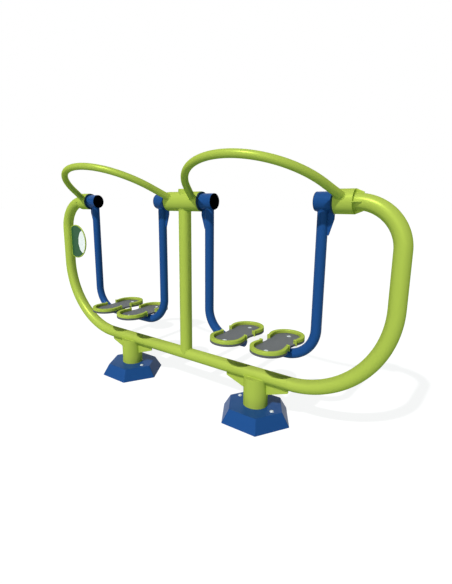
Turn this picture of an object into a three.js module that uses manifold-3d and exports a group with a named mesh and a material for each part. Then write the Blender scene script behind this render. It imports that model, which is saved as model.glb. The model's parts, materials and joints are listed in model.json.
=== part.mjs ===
// Double outdoor air walker: two walking stations side by side in one closed tube frame.
// Sizes are in millimetres. X runs along the machine, the users face -Y and +Z is up.
// The floor is at Z = 0, and all four legs swing about one axle line along X.

import * as THREE from 'three';
import { mergeVertices } from 'three/addons/utils/BufferGeometryUtils.js';
import Module from 'manifold-3d';

const wasm = await Module();
wasm.setup();

// Clearances

const seatGap = 0.3; // between two pieces that touch
const runningGap = 0.3; // round a shaft that turns
const overrun = 6; // how far a cut runs past what it cuts

// Main frame

const frame = {
  uprightPlace: 1205, // from the middle to the centre line of each upright
  axleHeight: 1215,
  railHeight: 257, // centre line of the bottom rail
  diameter: 76.1,
  wall: 3.2,
  topBendRadius: 206,
  bottomBendRadius: 495,
};

// Stations and bearing housings

const station = {
  place: 516, // from the middle of the machine to the middle of a station
  halfOpening: 390, // from there to the face of each housing
};

const housing = {
  diameter: 114.3,
  outerLength: 88,
  endWall: 14,
  finLength: 36,
  finThickness: 6,
  finTipRadius: 42,
};

const bearing = {
  diameter: 85,
  bore: 45,
  width: 19,
  frontDepth: 6, // from the housing's face to the first bearing
  rearDepth: 52, // and to the second
};

// Swinging leg

const dustSeal = {
  thickness: 9,
  diameter: 112,
  bore: 50,
};

const hub = {
  diameter: 92,
  length: 82.5,
  recessDiameter: 74,
  recessDepth: 22,
};

const axle = {
  headDiameter: 68,
  headThickness: 11,
  endMargin: 1.5, // how far the shaft passes the second bearing
};

const endCap = {
  diameter: 91,
  edge: 2.2,
  crown: 4,
  spigotDepth: 7,
};

const leg = {
  diameter: 52.6,
  wall: 2.9,
  bendRadius: 160,
  placeInHub: 49, // from the hub's end at the seal to the leg's centre line
  reachPastPedal: 50, // from the middle of the pedal to the leg's end
  gussetThickness: 6,
  gussetGap: 1.5, // between the gusset's upright edge and the housing's face
  gussetShoulder: 80, // from the axle line to the lower end of that edge
  gussetDrop: 157, // and to the gusset's lower end
  gussetStep: 7.5, // width of that lower end
};

// Pedal

const pedal = {
  place: 127.5, // from the middle of the station to the middle of the pedal
  underside: 458, // above the floor
  thickness: 12,
  lobeRadius: 97,
  lobePlace: 107.7, // from the waist to the middle of each lobe
  waistHalfWidth: 74,
  rimHeight: 19,
  rimWidth: 22, // at the lobe
  rimWaistWidth: 8, // what it narrows to at the waist, past its ends
  rimStart: 41, // from the waist to the ends of each rim
  endPlateThickness: 6, // a plate closes each end of a rim
  endPlateRise: 22, // how far it stands above the pedal
  endPlateReach: 7, // and how far past the pedal's edge
  barLength: 310,
  barWidth: 50,
  barThickness: 6,
  barSink: 0.8, // how deep the bar sits in the crown of the leg
  grooveDepth: 1.8, // the bar lies in a groove in the pedal's underside
  grooveClearance: 1,
};

// Handrail

const handrail = {
  diameter: 40,
  wall: 2.6,
  tilt: THREE.MathUtils.degToRad(29), // of its plane above the horizontal
  arcRadius: 411,
  arcPlace: 7.5, // from the axle line to the arc's centre, in its plane
  arcHalfAngle: THREE.MathUtils.degToRad(68),
};

// Centre post

const postRise = 16; // above the centre housing
const postCap = {
  thickness: 4,
  spigotDepth: 8,
};

// Feet

const foot = {
  place: 515, // from the middle of the machine to each foot
  postDiameter: 139.7,
  postWall: 4.5,
  topBelowRail: 11, // from the rail's centre line down to the closed top of the post
  lidThickness: 6,
  gussetReach: 200,
  gussetRootDrop: 107, // from the rail's centre line to the gusset's lower edge at the post
  gussetTipDrop: 60, // and at its end
  gussetThickness: 7,
};

const flange = {
  diameter: 300,
  thickness: 14,
  holeDiameter: 18,
  holeMargin: 28, // from the middle of each hole to the rim
  firstHoleAngle: THREE.MathUtils.degToRad(-12),
  holeCount: 4,
};

const cover = {
  sides: 6,
  bottomRadius: 216, // to its corners
  topRadius: 170,
  height: 75,
  wall: 3,
};

// Sign plate

const sign = {
  inset: 96, // from the upright's centre line to the plate's centre
  drop: 304, // and from the axle line down to it
  halfWidth: 119,
  halfHeight: 128,
  thickness: 8,
};

// Numbers of facets

const facets = {
  frameTube: 16,
  frameBore: 10,
  topBend: 7,
  bottomBend: 12,
  housing: 16,
  turned: 16,
  footPost: 20,
  footBore: 14,
  legTube: 12,
  legBore: 8,
  legBend: 7,
  handrailTube: 12,
  handrailBore: 8,
  handrailArc: 16,
  lobe: 12,
  pedalSide: 4,
  rimSide: 2,
  signEdge: 36,
  hole: 8,
};

// Derived places

const frameRadius = frame.diameter / 2;
const housingRadius = housing.diameter / 2;
const hubRadius = hub.diameter / 2;
const legRadius = leg.diameter / 2;
const centreHousingHalfLength = station.place - station.halfOpening;
const outerHousingFace = station.place + station.halfOpening;
const outerHousingEnd = outerHousingFace + housing.outerLength;
const railHalfLength = frame.uprightPlace - frame.bottomBendRadius;
const hubStart = dustSeal.thickness;
const hubEnd = hubStart + hub.length;
const legPlace = hubStart + leg.placeInHub;
const pedalPlace = station.halfOpening - pedal.place;
const pedalDrop = frame.axleHeight - pedal.underside;
const barTop = pedal.grooveDepth - seatGap - pedalDrop;
const barBottom = barTop - pedal.barThickness;
const legDrop = legRadius - pedal.barSink - barBottom;
const postTop = frame.railHeight - foot.topBelowRail;

// Materials

function paint(color, roughness, metalness) {
  return new THREE.MeshStandardMaterial({ color, roughness, metalness });
}

const materials = {
  lime: paint(0xa9c44a, 0.4, 0),
  green: paint(0x2f6b3a, 0.45, 0),
  blue: paint(0x24508c, 0.45, 0),
  treadGrey: paint(0x6c6e74, 0.8, 0),
  black: paint(0x18181a, 0.5, 0),
  steel: paint(0x9a9da0, 0.35, 1),
};

// Solids and booleans

function toSolid(geometry) {
  const bare = geometry.clone();
  bare.deleteAttribute('normal');
  bare.deleteAttribute('uv');
  const merged = mergeVertices(bare);
  const mesh = new wasm.Mesh({
    numProp: 3,
    vertProperties: merged.attributes.position.array,
    triVerts: new Uint32Array(merged.index.array),
  });
  return new wasm.Manifold(mesh);
}

function toGeometry(solid) {
  const mesh = solid.getMesh();
  const geometry = new THREE.BufferGeometry();
  geometry.setAttribute('position', new THREE.BufferAttribute(mesh.vertProperties, 3));
  geometry.setIndex(new THREE.BufferAttribute(mesh.triVerts, 1));
  geometry.computeVertexNormals();
  return geometry;
}

function join(...geometries) {
  return toGeometry(geometries.map(toSolid).reduce((whole, piece) => whole.add(piece)));
}

function cut(geometry, ...cutters) {
  const solid = toSolid(geometry);
  return toGeometry(cutters.map(toSolid).reduce((rest, cutter) => rest.subtract(cutter), solid));
}

function overlap(geometry, other) {
  return toGeometry(toSolid(geometry).intersect(toSolid(other)));
}

// Routes and sections

// A flat route in the XZ plane, made of straight runs and round bends that meet in line.
// Each leg of it has its own number of steps, so straight runs stay plain.
class BentRoute extends THREE.Curve {
  constructor(x, z, heading) {
    super();
    this.legs = [];
    this.steps = 0;
    this.end = { x, z, heading };
  }

  addLeg(steps, place) {
    this.legs.push({ first: this.steps, steps, place });
    this.steps += steps;
    this.end = place(1);
    return this;
  }

  straight(length) {
    const { x, z, heading } = this.end;
    return this.addLeg(1, (share) => ({
      x: x + Math.cos(heading) * length * share,
      z: z + Math.sin(heading) * length * share,
      heading,
    }));
  }

  bend(radius, turn, steps) {
    const { x, z, heading } = this.end;
    const side = Math.sign(turn) * radius;
    return this.addLeg(steps, (share) => {
      const now = heading + turn * share;
      return {
        x: x + side * (Math.sin(now) - Math.sin(heading)),
        z: z - side * (Math.cos(now) - Math.cos(heading)),
        heading: now,
      };
    });
  }

  placeAt(share) {
    const step = share * this.steps;
    const leg = this.legs.findLast((one) => one.first <= step && step - one.first <= one.steps);
    return leg.place((step - leg.first) / leg.steps);
  }

  getPoint(share, target = new THREE.Vector3()) {
    const { x, z } = this.placeAt(share);
    return target.set(x, 0, z);
  }

  getTangent(share, target = new THREE.Vector3()) {
    const { heading } = this.placeAt(share);
    return target.set(Math.cos(heading), 0, Math.sin(heading));
  }

  getUtoTmapping(share) {
    return share;
  }
}

const along = 0; // heading of a route along +X
const up = Math.PI / 2;
const quarterTurn = Math.PI / 2;

function polygon(radius, sides) {
  const turn = (2 * Math.PI) / sides;
  return Array.from({ length: sides }, (_, i) => new THREE.Vector2(
    radius * Math.cos(turn * i),
    radius * Math.sin(turn * i),
  ));
}

// A solid bar along a route.
function rod(route, radius, sides) {
  const section = new THREE.Shape(polygon(radius, sides));
  return new THREE.ExtrudeGeometry(section, { steps: route.steps, extrudePath: route });
}

// A hollow tube along a route, open at both ends.
function tube(route, radius, wall, sides, boreSides) {
  const section = new THREE.Shape(polygon(radius, sides));
  section.holes.push(new THREE.Path(polygon(radius - wall, boreSides)));
  return new THREE.ExtrudeGeometry(section, { steps: route.steps, extrudePath: route });
}

function levelRod(start, end, radius, sides) {
  return rod(new BentRoute(start, 0, along).straight(end - start), radius, sides);
}

function uprightRod(bottom, top, radius, sides) {
  return rod(new BentRoute(0, bottom, up).straight(top - bottom), radius, sides);
}

// A piece turned about the X axis. Its outline is a closed list of [x, radius].
function turned(outline, sides = facets.turned) {
  const points = outline.map(([x, radius]) => new THREE.Vector2(radius, x));
  const closed = points[0].x === 0 && points.at(-1).x === 0 ? points : [...points, points[0].clone()];
  return new THREE.LatheGeometry(closed, sides).rotateZ(-quarterTurn);
}

// The corner radius of a faceted bore whose flats clear a round of the given radius.
function boreRadius(radius, gap, sides) {
  return (radius + gap) / Math.cos(Math.PI / sides);
}

// A flat plate in the XZ plane, centred on Y = 0. Its outline is a list of [x, z].
function uprightPlate(outline, thickness) {
  const shape = new THREE.Shape(outline.map(([x, z]) => new THREE.Vector2(x, z)));
  return new THREE.ExtrudeGeometry(shape, { depth: thickness, bevelEnabled: false })
    .translate(0, 0, -thickness / 2)
    .rotateX(quarterTurn);
}

function levelPlate(shape, bottom, thickness) {
  return new THREE.ExtrudeGeometry(shape, { depth: thickness, bevelEnabled: false })
    .translate(0, 0, bottom);
}

function block(width, depth, bottom, top) {
  return new THREE.BoxGeometry(width, depth, top - bottom).translate(0, 0, (bottom + top) / 2);
}

// Assembly helpers

const machine = new THREE.Group();

function addPiece(parent, name, geometry, material) {
  const piece = new THREE.Mesh(geometry, material);
  piece.name = name;
  parent.add(piece);
  return piece;
}

function addGroup(parent, x, z) {
  const group = new THREE.Group();
  group.position.set(x, 0, z);
  parent.add(group);
  return group;
}

const ends = [
  { name: 'left', direction: -1 },
  { name: 'right', direction: 1 },
];

// Main frame: two bent tubes and the bottom rail between them

function bendRoute(start) {
  const startToBend = frame.uprightPlace - frame.topBendRadius - start;
  const uprightLength = frame.axleHeight - frame.topBendRadius - frame.railHeight - frame.bottomBendRadius;
  return new BentRoute(start, frame.axleHeight, along)
    .straight(startToBend)
    .bend(frame.topBendRadius, -quarterTurn, facets.topBend)
    .straight(uprightLength)
    .bend(frame.bottomBendRadius, -quarterTurn, facets.bottomBend);
}

function railSolid(gap) {
  return levelRod(-railHalfLength, railHalfLength, frameRadius + gap, facets.frameTube)
    .translate(0, 0, frame.railHeight);
}

function addMainFrame() {
  const bend = tube(
    bendRoute(outerHousingEnd + seatGap), frameRadius, frame.wall, facets.frameTube, facets.frameBore,
  );
  for (const { name, direction } of ends) {
    const half = addGroup(machine, 0, 0);
    half.rotation.z = direction > 0 ? 0 : Math.PI;
    addPiece(half, `frame_bend_${name}`, bend, materials.lime);
  }
  const halfRail = railHalfLength - seatGap;
  const rail = tube(
    new BentRoute(-halfRail, frame.railHeight, along).straight(2 * halfRail),
    frameRadius, frame.wall, facets.frameTube, facets.frameBore,
  );
  addPiece(machine, 'bottom_rail', rail, materials.lime);
}

// Centre post, notched over the rail and passing up through the centre housing

function addCentrePost() {
  const top = frame.axleHeight + housingRadius + postRise;
  const route = new BentRoute(0, frame.railHeight, up).straight(top - postCap.thickness - frame.railHeight);
  const post = tube(route, frameRadius, frame.wall, facets.frameTube, facets.frameBore);
  addPiece(machine, 'centre_post', cut(post, railSolid(seatGap)), materials.lime);

  const spigotRadius = (frameRadius - frame.wall) * Math.cos(Math.PI / facets.frameBore) - seatGap;
  const capBottom = top - postCap.thickness + seatGap;
  const cap = turned([
    [capBottom - postCap.spigotDepth, 0],
    [capBottom - postCap.spigotDepth, spigotRadius],
    [capBottom, spigotRadius],
    [capBottom, frameRadius],
    [top, frameRadius],
    [top, 0],
  ]).rotateY(-quarterTurn);
  addPiece(machine, 'centre_post_cap', cap, materials.lime);
}

// Bearing housings

function housingBore(start, end) {
  const radius = bearing.diameter / 2 + seatGap / Math.cos(Math.PI / facets.turned);
  return levelRod(start, end, radius, facets.housing);
}

function addCentreHousing() {
  const half = centreHousingHalfLength;
  const shell = cut(
    levelRod(-half, half, housingRadius, facets.housing),
    housingBore(-half - overrun, half + overrun),
    uprightRod(-housingRadius - overrun, housingRadius + overrun, frameRadius + seatGap, facets.frameTube),
  );
  const group = addGroup(machine, 0, frame.axleHeight);
  addPiece(group, 'centre_housing', shell, materials.lime);
}

// The outer housing is closed towards the frame and braced against it by four fins.
function outerHousingSolid() {
  const end = housing.outerLength;
  const finRoot = end - housing.endWall / 2;
  const finTip = end + housing.finLength;
  const fins = uprightPlate([
    [finRoot, -housingRadius],
    [end, -housingRadius],
    [finTip, -housing.finTipRadius],
    [finTip, housing.finTipRadius],
    [end, housingRadius],
    [finRoot, housingRadius],
  ], housing.finThickness);
  const crossFins = fins.clone().rotateX(quarterTurn);
  const frameTube = rod(bendRoute(outerHousingEnd), frameRadius + seatGap, facets.frameTube)
    .translate(-outerHousingFace, 0, -frame.axleHeight);
  const shell = join(levelRod(0, end, housingRadius, facets.housing), fins, crossFins);
  return cut(shell, housingBore(-overrun, end - housing.endWall), frameTube);
}

function addOuterHousings() {
  const shell = outerHousingSolid();
  for (const { name, direction } of ends) {
    const group = addGroup(machine, direction * outerHousingFace, frame.axleHeight);
    group.rotation.z = direction > 0 ? 0 : Math.PI;
    addPiece(group, `outer_housing_${name}`, shell, materials.lime);
  }
}

// Handrails: each is bent in one plane that passes through the axle line

function handrailSolid() {
  const turn = 2 * handrail.arcHalfAngle;
  const arcEndHeight = handrail.arcPlace + handrail.arcRadius * Math.cos(handrail.arcHalfAngle);
  const footHeight = housingRadius / 2;
  const runLength = (arcEndHeight - footHeight) / Math.sin(handrail.arcHalfAngle);
  const startX = -handrail.arcRadius * Math.sin(handrail.arcHalfAngle)
    - runLength * Math.cos(handrail.arcHalfAngle);
  const route = new BentRoute(startX, footHeight, handrail.arcHalfAngle)
    .straight(runLength)
    .bend(handrail.arcRadius, -turn, facets.handrailArc)
    .straight(runLength);
  const bar = tube(
    route, handrail.diameter / 2, handrail.wall, facets.handrailTube, facets.handrailBore,
  ).rotateX(quarterTurn - handrail.tilt);
  const reach = Math.abs(startX) + handrail.diameter;
  return cut(bar, levelRod(-reach, reach, housingRadius + seatGap, facets.housing));
}

function addHandrails() {
  const bar = handrailSolid();
  for (const { name, direction } of ends) {
    const group = addGroup(machine, direction * station.place, frame.axleHeight);
    addPiece(group, `handrail_${name}`, bar, materials.lime);
  }
}

// Feet: a wide post with two gussets, a floor flange and a tapered cover over it

function footPostSolid() {
  const radius = foot.postDiameter / 2;
  const bottom = flange.thickness + seatGap;
  const root = radius / 2;
  const gusset = uprightPlate([
    [root, frame.railHeight - foot.gussetRootDrop],
    [radius, frame.railHeight - foot.gussetRootDrop],
    [foot.gussetReach, frame.railHeight - foot.gussetTipDrop],
    [foot.gussetReach, frame.railHeight],
    [root, frame.railHeight],
  ], foot.gussetThickness);
  const opposite = gusset.clone().rotateZ(Math.PI);
  const whole = join(uprightRod(bottom, postTop, radius, facets.footPost), gusset, opposite);
  return cut(
    whole,
    uprightRod(bottom - overrun, postTop - foot.lidThickness, radius - foot.postWall, facets.footBore),
    railSolid(seatGap),
  );
}

function footFlangeSolid() {
  const disc = uprightRod(0, flange.thickness, flange.diameter / 2, facets.footPost);
  const holes = Array.from({ length: flange.holeCount }, (_, i) => {
    const angle = flange.firstHoleAngle + (2 * Math.PI * i) / flange.holeCount;
    const radius = flange.diameter / 2 - flange.holeMargin;
    return uprightRod(-overrun, flange.thickness + overrun, flange.holeDiameter / 2, facets.hole)
      .translate(radius * Math.cos(angle), radius * Math.sin(angle), 0);
  });
  return cut(disc, ...holes);
}

// A solid cone with flat sides between two heights, drawn in from the cover's outside.
function coverCone(bottom, top, inset) {
  const radiusAt = (z) => cover.bottomRadius + ((cover.topRadius - cover.bottomRadius) * z) / cover.height;
  const drawnIn = inset / Math.cos(Math.PI / cover.sides);
  return new THREE.CylinderGeometry(
    radiusAt(top) - drawnIn, radiusAt(bottom) - drawnIn, top - bottom, cover.sides,
  )
    .rotateY(quarterTurn)
    .rotateX(quarterTurn)
    .translate(0, 0, (bottom + top) / 2);
}

function footCoverSolid() {
  const postRadius = foot.postDiameter / 2 + seatGap;
  return cut(
    coverCone(0, cover.height, 0),
    coverCone(-overrun, cover.height - cover.wall, cover.wall),
    uprightRod(0, cover.height + overrun, postRadius, facets.footPost),
  );
}

function addFeet() {
  const post = footPostSolid();
  const plate = footFlangeSolid();
  const shell = footCoverSolid();
  for (const { name, direction } of ends) {
    const group = addGroup(machine, direction * foot.place, 0);
    addPiece(group, `foot_post_${name}`, post, materials.lime);
    addPiece(group, `foot_flange_${name}`, plate, materials.steel);
    addPiece(group, `foot_cover_${name}`, shell, materials.blue);
  }
}

// Sign plate, cut to the left upright that it is welded to

function addSignPlate() {
  const centre = frame.uprightPlace - sign.inset;
  const turn = (2 * Math.PI) / facets.signEdge;
  const ellipse = Array.from({ length: facets.signEdge }, (_, i) => [
    centre + sign.halfWidth * Math.cos(turn * i),
    frame.axleHeight - sign.drop + sign.halfHeight * Math.sin(turn * i),
  ]);
  const route = bendRoute(outerHousingEnd);
  const bend = Array.from({ length: route.steps + 1 }, (_, i) => route.placeAt(i / route.steps));
  const insideFrame = [...bend.map(({ x, z }) => [x, z]), [0, frame.railHeight], [0, frame.axleHeight]];
  const plate = overlap(
    uprightPlate(ellipse, sign.thickness),
    uprightPlate(insideFrame, sign.thickness + overrun),
  );
  const frameTube = rod(route, frameRadius + seatGap, facets.frameTube);
  const welded = cut(plate, frameTube).rotateZ(Math.PI);
  addPiece(machine, 'sign_plate', welded, materials.green);
}

// Bearings: two in the housing for each axle

function bearingSolid() {
  const bore = boreRadius(bearing.bore / 2, runningGap, facets.turned);
  return turned([
    [-bearing.width, bore],
    [-bearing.width, bearing.diameter / 2],
    [0, bearing.diameter / 2],
    [0, bore],
  ]);
}

function addBearings(parent, name) {
  const ring = bearingSolid();
  const depths = { front: bearing.frontDepth, rear: bearing.rearDepth };
  for (const [place, depth] of Object.entries(depths)) {
    const piece = addPiece(parent, `bearing_${place}_${name}`, ring, materials.steel);
    piece.position.x = -depth;
  }
}

// Swinging leg, modelled from the housing's face at X = 0 towards the station, axle at Z = 0

// The outside of the dust seal and the hub, grown by a gap for the pieces that are cut to it.
function hubOutside(gap) {
  const sealRadius = dustSeal.diameter / 2;
  return turned([
    [-overrun, 0],
    [-overrun, sealRadius + gap],
    [hubStart, sealRadius + gap],
    [hubStart, hubRadius + gap],
    [hubEnd + gap, hubRadius + gap],
    [hubEnd + gap, 0],
  ]);
}

function hubSolid() {
  const bore = bearing.bore / 2 + seatGap / Math.cos(Math.PI / facets.turned);
  const recessFloor = hubEnd - hub.recessDepth;
  return turned([
    [hubStart, bore],
    [hubStart, hubRadius],
    [hubEnd, hubRadius],
    [hubEnd, hub.recessDiameter / 2],
    [recessFloor, hub.recessDiameter / 2],
    [recessFloor, bore],
  ]);
}

function axleSolid() {
  const innerEnd = -bearing.rearDepth - bearing.width - axle.endMargin;
  const headStart = hubEnd - hub.recessDepth + seatGap;
  return turned([
    [innerEnd, 0],
    [innerEnd, bearing.bore / 2],
    [headStart, bearing.bore / 2],
    [headStart, axle.headDiameter / 2],
    [headStart + axle.headThickness, axle.headDiameter / 2],
    [headStart + axle.headThickness, 0],
  ]);
}

function endCapSolid() {
  const start = hubEnd + seatGap;
  const spigotRadius = hub.recessDiameter / 2 - seatGap;
  return turned([
    [start - endCap.spigotDepth, 0],
    [start - endCap.spigotDepth, spigotRadius],
    [start, spigotRadius],
    [start, endCap.diameter / 2],
    [start + endCap.edge, endCap.diameter / 2],
    [start + endCap.crown, 0],
  ]);
}

function dustSealSolid() {
  return turned([
    [seatGap, dustSeal.bore / 2],
    [seatGap, dustSeal.diameter / 2],
    [hubStart - seatGap, dustSeal.diameter / 2],
    [hubStart - seatGap, dustSeal.bore / 2],
  ]);
}

function legRoute(endX) {
  const bendTop = -legDrop + leg.bendRadius;
  const start = -hubRadius / 2;
  return new BentRoute(legPlace, start, -up)
    .straight(start - bendTop)
    .bend(leg.bendRadius, quarterTurn, facets.legBend)
    .straight(endX - legPlace - leg.bendRadius);
}

// The leg tube is coped to the hub, closed at its end, and carries a gusset under the hub
// and its seal, and the bar that the pedal is bolted to.
function legSolid() {
  const endX = pedalPlace + leg.reachPastPedal;
  const outside = rod(legRoute(endX), legRadius, facets.legTube);
  const bore = rod(legRoute(endX - leg.wall), legRadius - leg.wall, facets.legBore);
  const gusset = uprightPlate([
    [leg.gussetGap, -hubRadius / 2],
    [leg.gussetGap, -leg.gussetShoulder],
    [legPlace - legRadius - leg.gussetStep, -leg.gussetDrop],
    [legPlace, -leg.gussetDrop],
    [legPlace, -hubRadius / 2],
  ], leg.gussetThickness);
  const bar = block(pedal.barWidth, pedal.barLength, barBottom, barTop)
    .translate(pedalPlace, 0, 0);
  return cut(join(outside, gusset, bar), bore, hubOutside(seatGap));
}

// Pedal, modelled round its own middle

// Half a width between the lobes, which swings smoothly from the waist's to the lobe's.
function halfWidthAt(y, waist, lobe) {
  return waist + ((lobe - waist) * (1 - Math.cos((Math.PI * y) / pedal.lobePlace))) / 2;
}

// Points from the right side at the given start, round the rear lobe to the left side.
function lobeEdge(start, waist, lobe, sideSteps) {
  const side = Array.from({ length: sideSteps }, (_, i) => {
    const y = start + ((pedal.lobePlace - start) * i) / sideSteps;
    return new THREE.Vector2(halfWidthAt(y, waist, lobe), y);
  });
  const round = Array.from({ length: facets.lobe + 1 }, (_, i) => {
    const angle = (Math.PI * i) / facets.lobe;
    return new THREE.Vector2(lobe * Math.cos(angle), pedal.lobePlace + lobe * Math.sin(angle));
  });
  const otherSide = side.map((point) => new THREE.Vector2(-point.x, point.y)).reverse();
  return [...side, ...round, ...otherSide];
}

// The pedal's outline, grown by a gap for the pieces that are cut to it.
function pedalShape(gap) {
  const rear = lobeEdge(0, pedal.waistHalfWidth + gap, pedal.lobeRadius + gap, facets.pedalSide);
  const front = rear.slice(1, -1).map((point) => new THREE.Vector2(-point.x, -point.y));
  return new THREE.Shape([...rear, ...front]);
}

function pedalPlateSolid() {
  const groove = block(
    pedal.barWidth + 2 * pedal.grooveClearance,
    pedal.barLength + 2 * pedal.grooveClearance,
    -overrun,
    pedal.grooveDepth,
  );
  return cut(levelPlate(pedalShape(0), 0, pedal.thickness), groove);
}

// A rim follows the edge round its lobe and narrows towards its ends. The plate that closes
// each end stands out past the pedal's edge and reaches down beside it.
function rimSolid() {
  const innerWaist = pedal.waistHalfWidth - pedal.rimWaistWidth;
  const innerLobe = pedal.lobeRadius - pedal.rimWidth;
  const outer = lobeEdge(pedal.rimStart, pedal.waistHalfWidth, pedal.lobeRadius, facets.rimSide);
  const inner = lobeEdge(pedal.rimStart, innerWaist, innerLobe, facets.rimSide);
  const plateWidth = outer[0].x + pedal.endPlateReach - inner[0].x;
  const plateCentre = inner[0].x + plateWidth / 2;
  const underPlates = levelPlate(pedalShape(seatGap), -overrun, overrun + pedal.thickness + seatGap);
  const endPlates = [-plateCentre, plateCentre].map((x) => cut(
    block(plateWidth, pedal.endPlateThickness, 0, pedal.thickness + pedal.endPlateRise)
      .translate(x, pedal.rimStart + pedal.endPlateThickness / 2, 0),
    underPlates,
  ));
  const rail = new THREE.Shape([...outer, ...inner.reverse()]);
  return join(levelPlate(rail, pedal.thickness + seatGap, pedal.rimHeight - seatGap), ...endPlates);
}

const legPieces = {
  hub: [hubSolid(), materials.blue],
  axle: [axleSolid(), materials.steel],
  end_cap: [endCapSolid(), materials.black],
  dust_seal: [dustSealSolid(), materials.black],
  leg: [legSolid(), materials.blue],
};
const pedalPlate = pedalPlateSolid();
const rim = rimSolid();

function addLeg(name, faceX, direction) {
  const group = addGroup(machine, faceX, frame.axleHeight);
  group.rotation.z = direction > 0 ? 0 : Math.PI;
  addBearings(group, name);
  for (const [piece, [geometry, material]] of Object.entries(legPieces)) {
    addPiece(group, `${piece}_${name}`, geometry, material);
  }
  const pedalGroup = addGroup(group, pedalPlace, -pedalDrop);
  pedalGroup.rotation.z = -group.rotation.z;
  addPiece(pedalGroup, `pedal_${name}`, pedalPlate, materials.treadGrey);
  addPiece(pedalGroup, `rim_rear_${name}`, rim, materials.lime);
  addPiece(pedalGroup, `rim_front_${name}`, rim, materials.lime).rotation.z = Math.PI;
}

// The whole machine, centred over its own footprint

addMainFrame();
addCentrePost();
addCentreHousing();
addOuterHousings();
addHandrails();
addFeet();
addSignPlate();
for (const { name, direction } of ends) {
  addLeg(`${name}_inner`, direction * centreHousingHalfLength, direction);
  addLeg(`${name}_outer`, direction * outerHousingFace, -direction);
}

const footprint = new THREE.Box3().setFromObject(machine, true);
machine.position.y = -(footprint.min.y + footprint.max.y) / 2;

export default machine;
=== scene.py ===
"""A double outdoor air walker with green tubes and blue swinging legs, in a plain studio."""

import json
import math

import bmesh
import bpy
from bpy.props import FloatProperty, FloatVectorProperty, IntProperty, PointerProperty
from mathutils import Matrix, Vector


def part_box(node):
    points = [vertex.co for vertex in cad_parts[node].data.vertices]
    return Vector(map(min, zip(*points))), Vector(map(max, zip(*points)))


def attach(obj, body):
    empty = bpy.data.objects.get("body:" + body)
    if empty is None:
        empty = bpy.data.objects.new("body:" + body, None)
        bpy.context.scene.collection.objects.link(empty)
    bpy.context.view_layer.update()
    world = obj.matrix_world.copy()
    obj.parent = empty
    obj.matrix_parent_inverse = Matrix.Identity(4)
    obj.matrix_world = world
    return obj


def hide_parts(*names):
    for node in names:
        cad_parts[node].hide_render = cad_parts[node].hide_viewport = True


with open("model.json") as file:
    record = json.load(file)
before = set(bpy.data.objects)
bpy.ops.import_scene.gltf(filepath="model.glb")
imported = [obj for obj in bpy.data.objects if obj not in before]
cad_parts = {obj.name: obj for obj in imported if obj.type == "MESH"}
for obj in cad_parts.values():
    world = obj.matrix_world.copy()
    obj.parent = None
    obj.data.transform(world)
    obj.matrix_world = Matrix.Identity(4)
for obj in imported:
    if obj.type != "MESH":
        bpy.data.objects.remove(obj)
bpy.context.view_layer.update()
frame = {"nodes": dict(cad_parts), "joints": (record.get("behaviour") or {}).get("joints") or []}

bl_info = {
    "name": "Double air walker",
    "version": (1, 0, 0),
    "blender": (4, 5, 0),
    "location": "View3D > Sidebar > Air walker",
    "description": "Builds the tubes, legs, pedals, feet and finishes of a double air walker",
    "category": "Add Mesh",
}

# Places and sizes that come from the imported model

X, Y, Z = range(3)


def low(node, axis):
    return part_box(node)[0][axis]


def high(node, axis):
    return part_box(node)[1][axis]


def extent(node, axis):
    return high(node, axis) - low(node, axis)


def middle(node, axis):
    return (high(node, axis) + low(node, axis)) / 2


AXLES = {joint["child"].removeprefix("swing_"): Vector(joint["pos_m"]) for joint in frame["joints"]}
LEGS = tuple(AXLES)
AXLE = AXLES["right_inner"]

TUBE_RADIUS = extent("bottom_rail", Y) / 2
RAIL_HEIGHT = middle("bottom_rail", Z)
RAIL_HALF_LENGTH = high("bottom_rail", X)
UPRIGHT = high("frame_bend_right", X) - TUBE_RADIUS
HOUSING_RADIUS = extent("centre_housing", Y) / 2
CENTRE_FACE = high("centre_housing", X)
OUTER_FACE = low("outer_housing_right", X)
POST_TOP = high("centre_post", Z)
POST_LID_TOP = high("centre_post_cap", Z)
FOOT_PLACE = middle("foot_post_right", X)
FOOT_RADIUS = extent("foot_post_right", Y) / 2
FOOT_TOP = high("foot_post_right", Z)
FOOT_BOTTOM = low("foot_post_right", Z)
GUSSET_REACH = extent("foot_post_right", X) / 2
NOTCH_HALF_WIDTH = math.sqrt(TUBE_RADIUS ** 2 - (RAIL_HEIGHT - FOOT_TOP) ** 2)
COVER_BOTTOM_RADIUS = extent("foot_cover_right", X) / 2
COVER_HEIGHT = high("foot_cover_right", Z)
STATION = (CENTRE_FACE + OUTER_FACE) / 2
SIGN_HEIGHT = middle("sign_plate", Z)
SIGN_HALF_HEIGHT = extent("sign_plate", Z) / 2
SIGN_INNER_END = high("sign_plate", X)
SIGN_THICKNESS = extent("sign_plate", Y)

# Each end of the machine is the right one, or that turned half round about the middle.
MIDPLANE = Matrix.Translation((0, AXLE.y, 0))
HALF_TURN = Matrix.Rotation(math.pi, 4, "Z")
ENDS = {"left": MIDPLANE @ HALF_TURN, "right": MIDPLANE}

# Angles, and turns that lay a shape's own plane or axis in the machine
QUARTER = math.pi / 2
SIXTH = math.pi / 3     # between the corners of a hexagon
STAND_UP = Matrix.Rotation(QUARTER, 4, "X")     # from the XY plane to the XZ plane
POINT_UP = Matrix.Rotation(-QUARTER, 4, "Y")    # from the X axis to the Z axis
SIDEWAYS = Vector((1, 0, 0))
UPWARDS = Vector((0, 0, 1))

# Fineness of the meshes

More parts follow.
